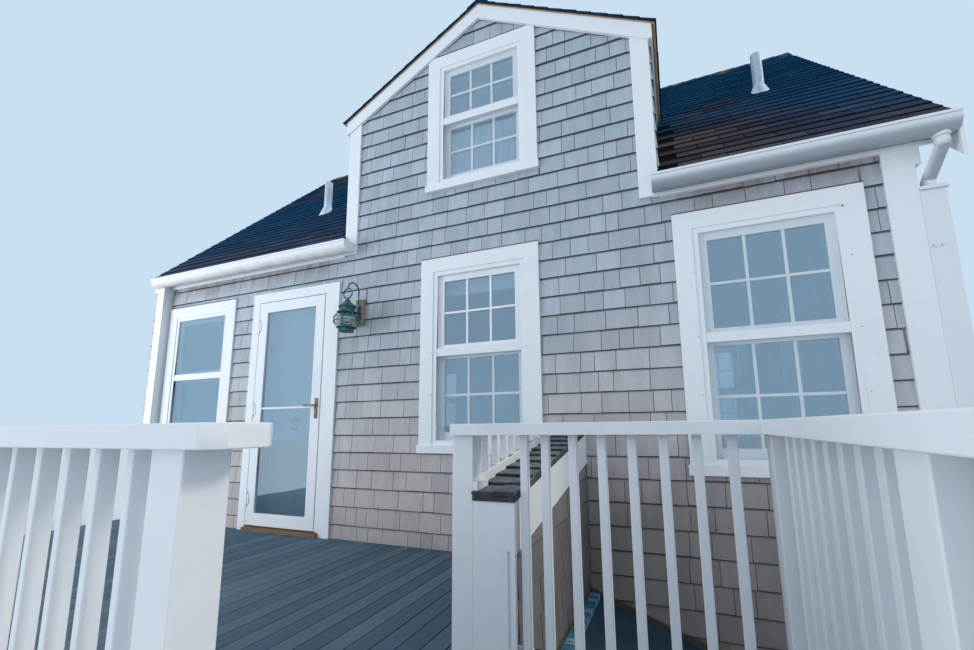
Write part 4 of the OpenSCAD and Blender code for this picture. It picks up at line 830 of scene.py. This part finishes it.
def cheek_shingles():
    """Shingles on both side walls of the dormer, between its boards and the main roof."""
    y0 = FRONT_Y
    top = dormer_top(DORMER_R - DORMER_X) - RAKE_DROP
    y1 = roof_depth(top)
    solids = Solids()
    lay_shingles(solids, CHEEK_R, [(y0, roof_top(y0)), (y1, top), (y0, top)], [], seed=14)
    lay_shingles(solids, CHEEK_L, [(-y0, roof_top(y0)), (-y0, top), (-y1, top)], [], seed=15)
    solids.make("dormer_side_shingles", CEDAR)


def knee_wall_shingles():
    """Shingles on both sides of the knee wall, cut to its sloping roof."""
    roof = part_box("knee_wall_roof")
    y0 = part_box("knee_wall")[0].y
    slope = (roof[1].z - KNEE_ROOF_T - roof[0].z) / (FRONT_Y - roof[0].y)
    well = Face((KNEE_R, 0, 0), (0, 1, 0), (0, 0, 1))
    deck_side = Face((KNEE_L, 0, 0), (0, -1, 0), (0, 0, 1))
    high = roof[1].z - (KNEE_ROOF_T + KNEE_BOARD_H)
    low = high - (FRONT_Y - y0) * slope
    # The deck side's board is narrower by this
    up = 0.09
    solids = Solids()
    lay_shingles(solids, well, [(y0, 0.0), (FRONT_Y, 0.0), (FRONT_Y, high), (y0, low)], [], seed=16)
    lay_shingles(solids, deck_side,
                 [(-FRONT_Y, DECK_Z), (-y0, DECK_Z), (-y0, low + up), (-FRONT_Y, high + up)], [], seed=17)
    # The knee wall's shingles take the copy with painted shade
    solids.make("knee_wall_shingles", SHADED_CEDAR)


def knee_roof_shingles():
    """Thick tabs across the knee wall's roof, with their lowest butt ragged."""
    lo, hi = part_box("knee_wall_roof")
    rise, run = hi.z - KNEE_ROOF_T - lo.z, hi.y - lo.y
    length = math.hypot(rise, run)
    slope = Face((0, lo.y, lo.z + KNEE_ROOF_T), (1, 0, 0), (0, run / length, rise / length))
    solids = Solids()
    lay_courses(solids, slope, [(lo.x, -TAB_OVER), (hi.x, -TAB_OVER), (hi.x, length), (lo.x, length)], [],
                [-TAB_OVER + i * ROOF_COURSE for i in range(14)], widths=(0.060, 0.110), gap=0.004,
                butt=0.014, head=0.004, seed=26, ragged=0.007)
    solids.make("knee_roof_shingles", MOSSY)


def roof_shingles():
    """Tabs on both slopes of the main roof, left out where the dormer's roof covers them."""
    # How far the lowest tabs stand over the eaves
    over = 0.012
    eave = (EAVE_Y - FRONT_Y) / SLOPE[0] - over
    top = (RIDGE_Y - FRONT_Y) / SLOPE[0]
    end = ROOF_R - HAIR

    def below_dormer(u, v):
        """Whether a place lies 200 mm or more under the dormer's roof."""
        off = abs(u - DORMER_X)
        return dormer_top(off) > roof_top(FRONT_Y + v * SLOPE[0]) + 0.20 and off < DORMER_HALF

    cut = (DORMER_L - HAIR, DORMER_R + HAIR, eave - 1, (DORMER_BACK_Y - FRONT_Y) / SLOPE[0])
    solids = Solids()
    front = [(PARTY_X, eave), (end, eave), (end, top), (PARTY_X, top)]
    rear = [(-end, eave), (-PARTY_X, eave), (-PARTY_X, top), (-end, top)]
    lay_tabs(solids, FRONT_SLOPE, front, [cut], 21, below_dormer)
    lay_tabs(solids, REAR_SLOPE, rear, [], 22)
    solids.make("roof_shingles", ASPHALT)


def dormer_roof_shingles():
    """Tabs on both slopes of the dormer's roof, running back to the main roof."""
    top = DORMER_HALF / D_SLOPE[0]
    front, low = DORMER_FRONT_Y - TAB_OVER, -TAB_OVER
    far_low, far_high = roof_depth(dormer_top(DORMER_HALF)), roof_depth(DORMER_TOP_Z)
    solids = Solids()
    right = [(front, low), (far_low, low), (far_high, top), (front, top)]
    left = [(-far_low, low), (-front, low), (-front, top), (-far_high, top)]
    lay_tabs(solids, DORMER_SLOPE_R, right, [], 23)
    lay_tabs(solids, DORMER_SLOPE_L, left, [], 24)
    solids.make("dormer_roof_shingles", ASPHALT)


def ridge_shingles():
    """Bent cap shingles that lap along the main ridge and the dormer's ridge."""
    solids = Solids()
    draw = random.Random(25)
    lap, thick = 0.03, 0.006

    def caps(start, along, fall, half, pitch, count, step):
        """A row of caps along a ridge, each with its near end raised on the one before."""
        start, along, fall = Vector(start), Vector(along), Vector(fall)
        side = fall * half * math.cos(pitch)
        down = Vector((0, 0, -half * math.sin(pitch)))
        for i in range(count):
            base = start + along * (i * step)
            raised = 0.010 + draw.uniform(-0.0008, 0.0008)
            near, far = [], []
            for place, rise, ring in ((base, raised, near), (base + along * (step + lap), 0.001, far)):
                lift = Vector((0, 0, rise))
                top = lift + Vector((0, 0, thick))
                ring += [place - side + down + lift, place + lift, place + side + down + lift,
                         place + side + down + top, place + top, place - side + down + top]
            if along.cross(fall).z > 0:
                near.reverse()
                far.reverse()
            solids.prism(near, far)

    count = 48
    caps((ROOF_R, RIDGE_Y, RIDGE_Z), (-1, 0, 0), (0, 1, 0), 0.120, ROOF_PITCH, count,
         (ROOF_R - PARTY_X - lap) / count)
    front, count = DORMER_FRONT_Y - TAB_OVER, 14
    caps((DORMER_X, front, DORMER_TOP_Z + 0.004), (0, 1, 0), (1, 0, 0), 0.110, DORMER_PITCH, count,
         (roof_depth(DORMER_TOP_Z) - front) / count)
    solids.make("ridge_cap_shingles", ASPHALT, replaces=["ridge_cap"])


def deck_planks():
    """Narrow boards laid towards the house, over the whole deck and the landing."""
    lo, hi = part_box("deck_boards")
    pitch, gap = 0.098, 0.005
    # Depths of the deck and of the stair well, width of the landing, and a post with its clearance
    deck_d, well_d, landing_w, post = 2.490, 1.312, 1.244, 0.089
    deck_front, well_y = FRONT_Y - deck_d, FRONT_Y - well_d
    landing_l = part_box("side_railing")[1].x - landing_w
    solids = Solids()
    draw = random.Random(31)
    x = lo.x
    while x < hi.x - 0.02:
        x1 = min(x + pitch - gap, hi.x)
        z = hi.z - draw.uniform(0.0, 0.0012)
        front = lo.y if x >= landing_l - HAIR else deck_front
        back = FRONT_Y if x1 <= KNEE_L + HAIR else (well_y - post if x < KNEE_R + KNEE_BOARD_T else well_y)
        solids.box((x, x1), (front, back), (lo.z, z))
        # The board that crosses the landing's side reaches forward there
        if x < landing_l - HAIR < x1 - 0.002:
            solids.box((landing_l, x1), (lo.y, deck_front), (lo.z, z))
        x += pitch
    solids.make("deck_planks", DECKING, eased=0.002, replaces=["deck_boards"])


front_shingles()
gable_shingles()
rear_shingles()
cheek_shingles()
knee_wall_shingles()
knee_roof_shingles()
roof_shingles()
dormer_roof_shingles()
ridge_shingles()
deck_planks()


# Windows

def inside(window):
    """Inside edges of a window's casing: left, right, bottom, top."""
    x, z, w, h = window
    return (x - w / 2 + CASING_W, x + w / 2 - CASING_W, z + SILL_H, z + h - CASING_W)


def meeting_z(window):
    """Top of a window's meeting rails."""
    low, high = inside(window)[2:]
    return (low + high + SASH_W) / 2


def window_bars():
    """Glazing bars of the sashes, six lights to a sash, on the windows that have them."""
    bar, deep = 0.017, 0.020
    edge = STORM_W + SASH_W
    # The lower sash is slimmer than the upper one all round by this, and stands this far over the sill
    slim, foot = 0.010, 0.020
    # The upper sash lies this far behind the wall's face, and the lower one behind it
    sunk = 0.006
    upper_y, lower_y = sunk + SASH_T / 2, sunk + 1.5 * SASH_T
    solids = Solids()

    def on_front(u, y, v):
        solids.box(u, (FRONT_Y + y - deep / 2, FRONT_Y + y + deep / 2), v)

    def on_rear(u, y, v):
        solids.box(u, (REAR_Y - y - deep / 2, REAR_Y - y + deep / 2), v)

    def on_gable(u, y, v):
        solids.box((GABLE_X - y - deep / 2, GABLE_X - y + deep / 2), u, v)

    def bars(place, window):
        """Two upright bars and a level one in each sash."""
        left, right, low, high = inside(window)
        mid = meeting_z(window)
        lights = [(left + edge, right - edge, mid - SASH_W / 2 + edge, high - edge, upper_y),
                  (left + edge - slim, right - edge + slim, low + foot + edge - slim,
                   mid + SASH_W / 2 - edge + slim, lower_y)]
        for u0, u1, v0, v1, y in lights:
            uprights = [u0 + (u1 - u0) * share for share in (1 / 3, 2 / 3)]
            for u in uprights:
                place((u - bar / 2, u + bar / 2), y, (v0, v1))
            v = (v0 + v1) / 2
            for a, b in zip([u0] + [u + bar / 2 for u in uprights], [u - bar / 2 for u in uprights] + [u1]):
                place((a, b), y, (v - bar / 2, v + bar / 2))

    for window in (MIDDLE_WINDOW, END_WINDOW, DORMER_WINDOW):
        bars(on_front, window)
    for window in (MIDDLE_WINDOW, END_WINDOW):
        bars(on_rear, window)
    for window in (MIDDLE_WINDOW, DORMER_WINDOW):
        bars(on_gable, (RIDGE_Y,) + window[1:])
    solids.make("window_bars", PAINT)


def storm_panes():
    """Outer panes in the upper halves of three storm windows, over the sashes' bars."""
    solids = Solids()
    # Each reaches 4 mm into its frame, and its foot stands in the bar over the meeting rails
    rim, bar = STORM_W - 0.004, 0.028
    y = (FRONT_Y - 0.013, FRONT_Y - 0.009)
    for window in (PARTY_WINDOW, END_WINDOW, DORMER_WINDOW):
        left, right, _, high = inside(window)
        solids.box((left + rim, right - rim), y, (meeting_z(window) + bar, high - rim))
    solids.make("storm_panes", PANE)


def hung_cloth(name, window, top, drop, folds, swing):
    """Cloth hung inside a window in even folds."""
    left, right = inside(window)[:2]
    depth, thick, clear = FRONT_Y + 0.110, 0.0012, 0.006
    count = folds * 10 if folds else 1
    row = [(left + clear + (right - left - 2 * clear) * i / count,
            depth + swing * math.sin(2 * math.pi * folds * i / count)) for i in range(count + 1)]
    ring = row + [(x, y + thick) for x, y in reversed(row)]
    solids = Solids()
    solids.prism([(x, y, top) for x, y in ring], [(x, y, top - drop) for x, y in ring])
    piece = solids.make(name, CLOTH)


def curtains():
    """Cotton behind three front windows: full by the door, half in the dormer, and short in the middle."""
    low, high = inside(PARTY_WINDOW)[2:]
    hung_cloth("party_window_curtain", PARTY_WINDOW, high - 0.002, high - low - 0.032, 11, 0.010)
    low = inside(DORMER_WINDOW)[2]
    top = meeting_z(DORMER_WINDOW) + 0.010
    hung_cloth("dormer_curtain", DORMER_WINDOW, top, top - low - 0.030, 14, 0.010)
    high = inside(MIDDLE_WINDOW)[3]
    hung_cloth("middle_window_valance", MIDDLE_WINDOW, high - 0.002, 0.173, 0, 0.0)


def fixings():
    """Small metal on the front: screws of the storm frames, sash locks, a hook and the chase's strap."""
    solids = Solids()
    casing_y = FRONT_Y - CASING_T
    strap_y, strap_z, strap_h = casing_y - 0.003, 2.764, 0.020

    def stud(x, y, z, radius=0.003, proud=0.002):
        """A round head that stands out towards the front."""
        turns = [math.pi / 4 * i for i in range(8)]
        ring = [(x + radius * math.cos(a), z + radius * math.sin(a)) for a in turns]
        solids.prism([(u, y - proud, v) for u, v in ring], [(u, y + HAIR, v) for u, v in ring])

    for window in (PARTY_WINDOW, MIDDLE_WINDOW, END_WINDOW):
        left, right, low, high = inside(window)
        for share in (0.28, 0.52, 0.80):
            z = low + (high - low) * share
            stud(left - 0.010, casing_y, z)
            stud(right + 0.014, casing_y, z - 0.01)
    # A cup hook near the end window's upper right corner
    stud(2.976, casing_y, 3.079, radius=0.004, proud=0.012)
    for window in (MIDDLE_WINDOW, DORMER_WINDOW):
        x, z = window[0], meeting_z(window) + 0.006
        solids.box((x - 0.030, x + 0.030), (FRONT_Y + 0.042, FRONT_Y + 0.066), (z, z + 0.016))
    for x in (GABLE_X + 0.017, GABLE_X + 0.053):
        stud(x, strap_y, strap_z + strap_h / 2)
    solids.make("fixings", SCREW)
    strap = Solids()
    strap.box((GABLE_X + 0.008, GABLE_X + 0.062), (strap_y, casing_y), (strap_z, strap_z + strap_h))
    strap.make("chase_strap", ENAMEL, eased=0.001)


def drip_caps():
    """Thin painted metal over the head of each casing."""
    solids = Solids()
    thick = 0.004
    for x, z, w, h in (PARTY_WINDOW, MIDDLE_WINDOW, END_WINDOW):
        for y in ((FRONT_Y - CASING_T - thick, FRONT_Y), (REAR_Y, REAR_Y + CASING_T + thick)):
            solids.box((x - w / 2, x + w / 2), y, (z + h, z + h + thick))
    solids.make("drip_caps", DRIP_CAP)


window_bars()
storm_panes()
curtains()
fixings()
drip_caps()


# Stage, light and camera

def stage():
    """The pale floor."""
    mesh = bpy.data.meshes.new("floor")
    half = 60.0
    corners = [(-half, -half, 0), (half, -half, 0), (half, half, 0), (-half, half, 0)]
    mesh.from_pydata(corners, [], [(0, 1, 2, 3)])
    mesh.materials.append(material("pale_floor", Base_Color=linear("#d4d9dd"), Roughness=0.9))
    new_object("floor", mesh)


def studio():
    """A world that lights softly, and that the camera, gloss and glass see as a plain pale blue."""
    world = bpy.data.worlds.new("studio")
    bpy.context.scene.world = world
    world.use_nodes = True
    tree = world.node_tree
    tree.nodes.clear()
    out, mix, seen, lamp, path, either, both = [tree.nodes.new("ShaderNode" + kind) for kind in (
        "OutputWorld", "MixShader", "Background", "Background", "LightPath", "Math", "Math")]
    either.operation = both.operation = "MAXIMUM"
    for shader, code, strength in ((seen, "#c9dff2", 1.0), (lamp, "#dfeaf6", 0.98)):
        shader.inputs["Color"].default_value = linear(code)
        shader.inputs["Strength"].default_value = strength
    for source, target in (
            (path.outputs["Is Camera Ray"], either.inputs[0]),
            (path.outputs["Is Glossy Ray"], either.inputs[1]),
            (path.outputs["Is Transmission Ray"], both.inputs[1]), (either.outputs[0], both.inputs[0]),
            (both.outputs[0], mix.inputs[0]), (lamp.outputs[0], mix.inputs[1]),
            (seen.outputs[0], mix.inputs[2]), (mix.outputs[0], out.inputs[0])):
        tree.links.new(source, target)


def lamps():
    """A soft sun from the right, and two wide fills on the house alone: from the left, and low."""
    sun = bpy.data.lights.new("key", "SUN")
    sun.energy = 1.15
    sun.angle = math.radians(12.0)
    sun.color = linear("#fff0dc")[:3]
    key = new_object("key", sun)
    key.rotation_euler = Vector((-0.80, -0.22, -0.56)).to_track_quat("-Z", "Y").to_euler()
    house_only = bpy.data.collections.new("house_only")
    for piece in bpy.context.scene.objects:
        if piece.type == "MESH" and piece.name != "floor":
            house_only.objects.link(piece)
    for name, place, aim, size, watts in (
            ("fill", (-6.2, -4.6, 2.0), (-1.2, FRONT_Y, 1.7), (4.0, 3.0), 345.0),
            ("low_fill", (3.6, -5.2, 0.8), (1.3, -1.5, 1.2), (2.0, 1.2), 12.0)):
        area = bpy.data.lights.new(name, "AREA")
        area.shape = "RECTANGLE"
        area.size, area.size_y = size
        area.energy = watts
        area.color = linear("#f3f6fa")[:3]
        fill = new_object(name, area)
        fill.location = place
        fill.rotation_euler = (Vector(aim) - Vector(place)).to_track_quat("-Z", "Y").to_euler()
        # Kept out of what the panes mirror and let through
        fill.visible_camera = fill.visible_glossy = fill.visible_transmission = False
        fill.light_linking.receiver_collection = house_only


def camera():
    """The photograph's place and lens: a standing eye on the landing, turned left and up."""
    image_w, image_h = 974, 650
    focal_px, middle_px = 437.5, (500.0, 357.6)
    place = (2.0137, -3.0712, 1.838)
    yaw, pitch, roll = math.radians(21.92), math.radians(8.96), math.radians(-0.64)
    cam = bpy.data.cameras.new("camera")
    cam.sensor_width = 36.0
    cam.lens = focal_px / image_w * cam.sensor_width
    cam.shift_x = (image_w / 2 - middle_px[0]) / image_w
    cam.shift_y = (middle_px[1] - image_h / 2) / image_w
    cam.clip_start = 0.01
    cam.clip_end = 200.0
    ahead = Vector((-math.sin(yaw) * math.cos(pitch), math.cos(yaw) * math.cos(pitch), math.sin(pitch)))
    level = Vector((math.cos(yaw), math.sin(yaw), 0.0))
    upward = level.cross(ahead)
    right = math.cos(roll) * level + math.sin(roll) * upward
    top = -math.sin(roll) * level + math.cos(roll) * upward
    eye = new_object("camera", cam)
    eye.matrix_world = Matrix([[right[i], top[i], -ahead[i], place[i]] for i in range(3)] + [[0, 0, 0, 1]])
    bpy.context.scene.camera = eye


stage()
studio()
lamps()
camera()
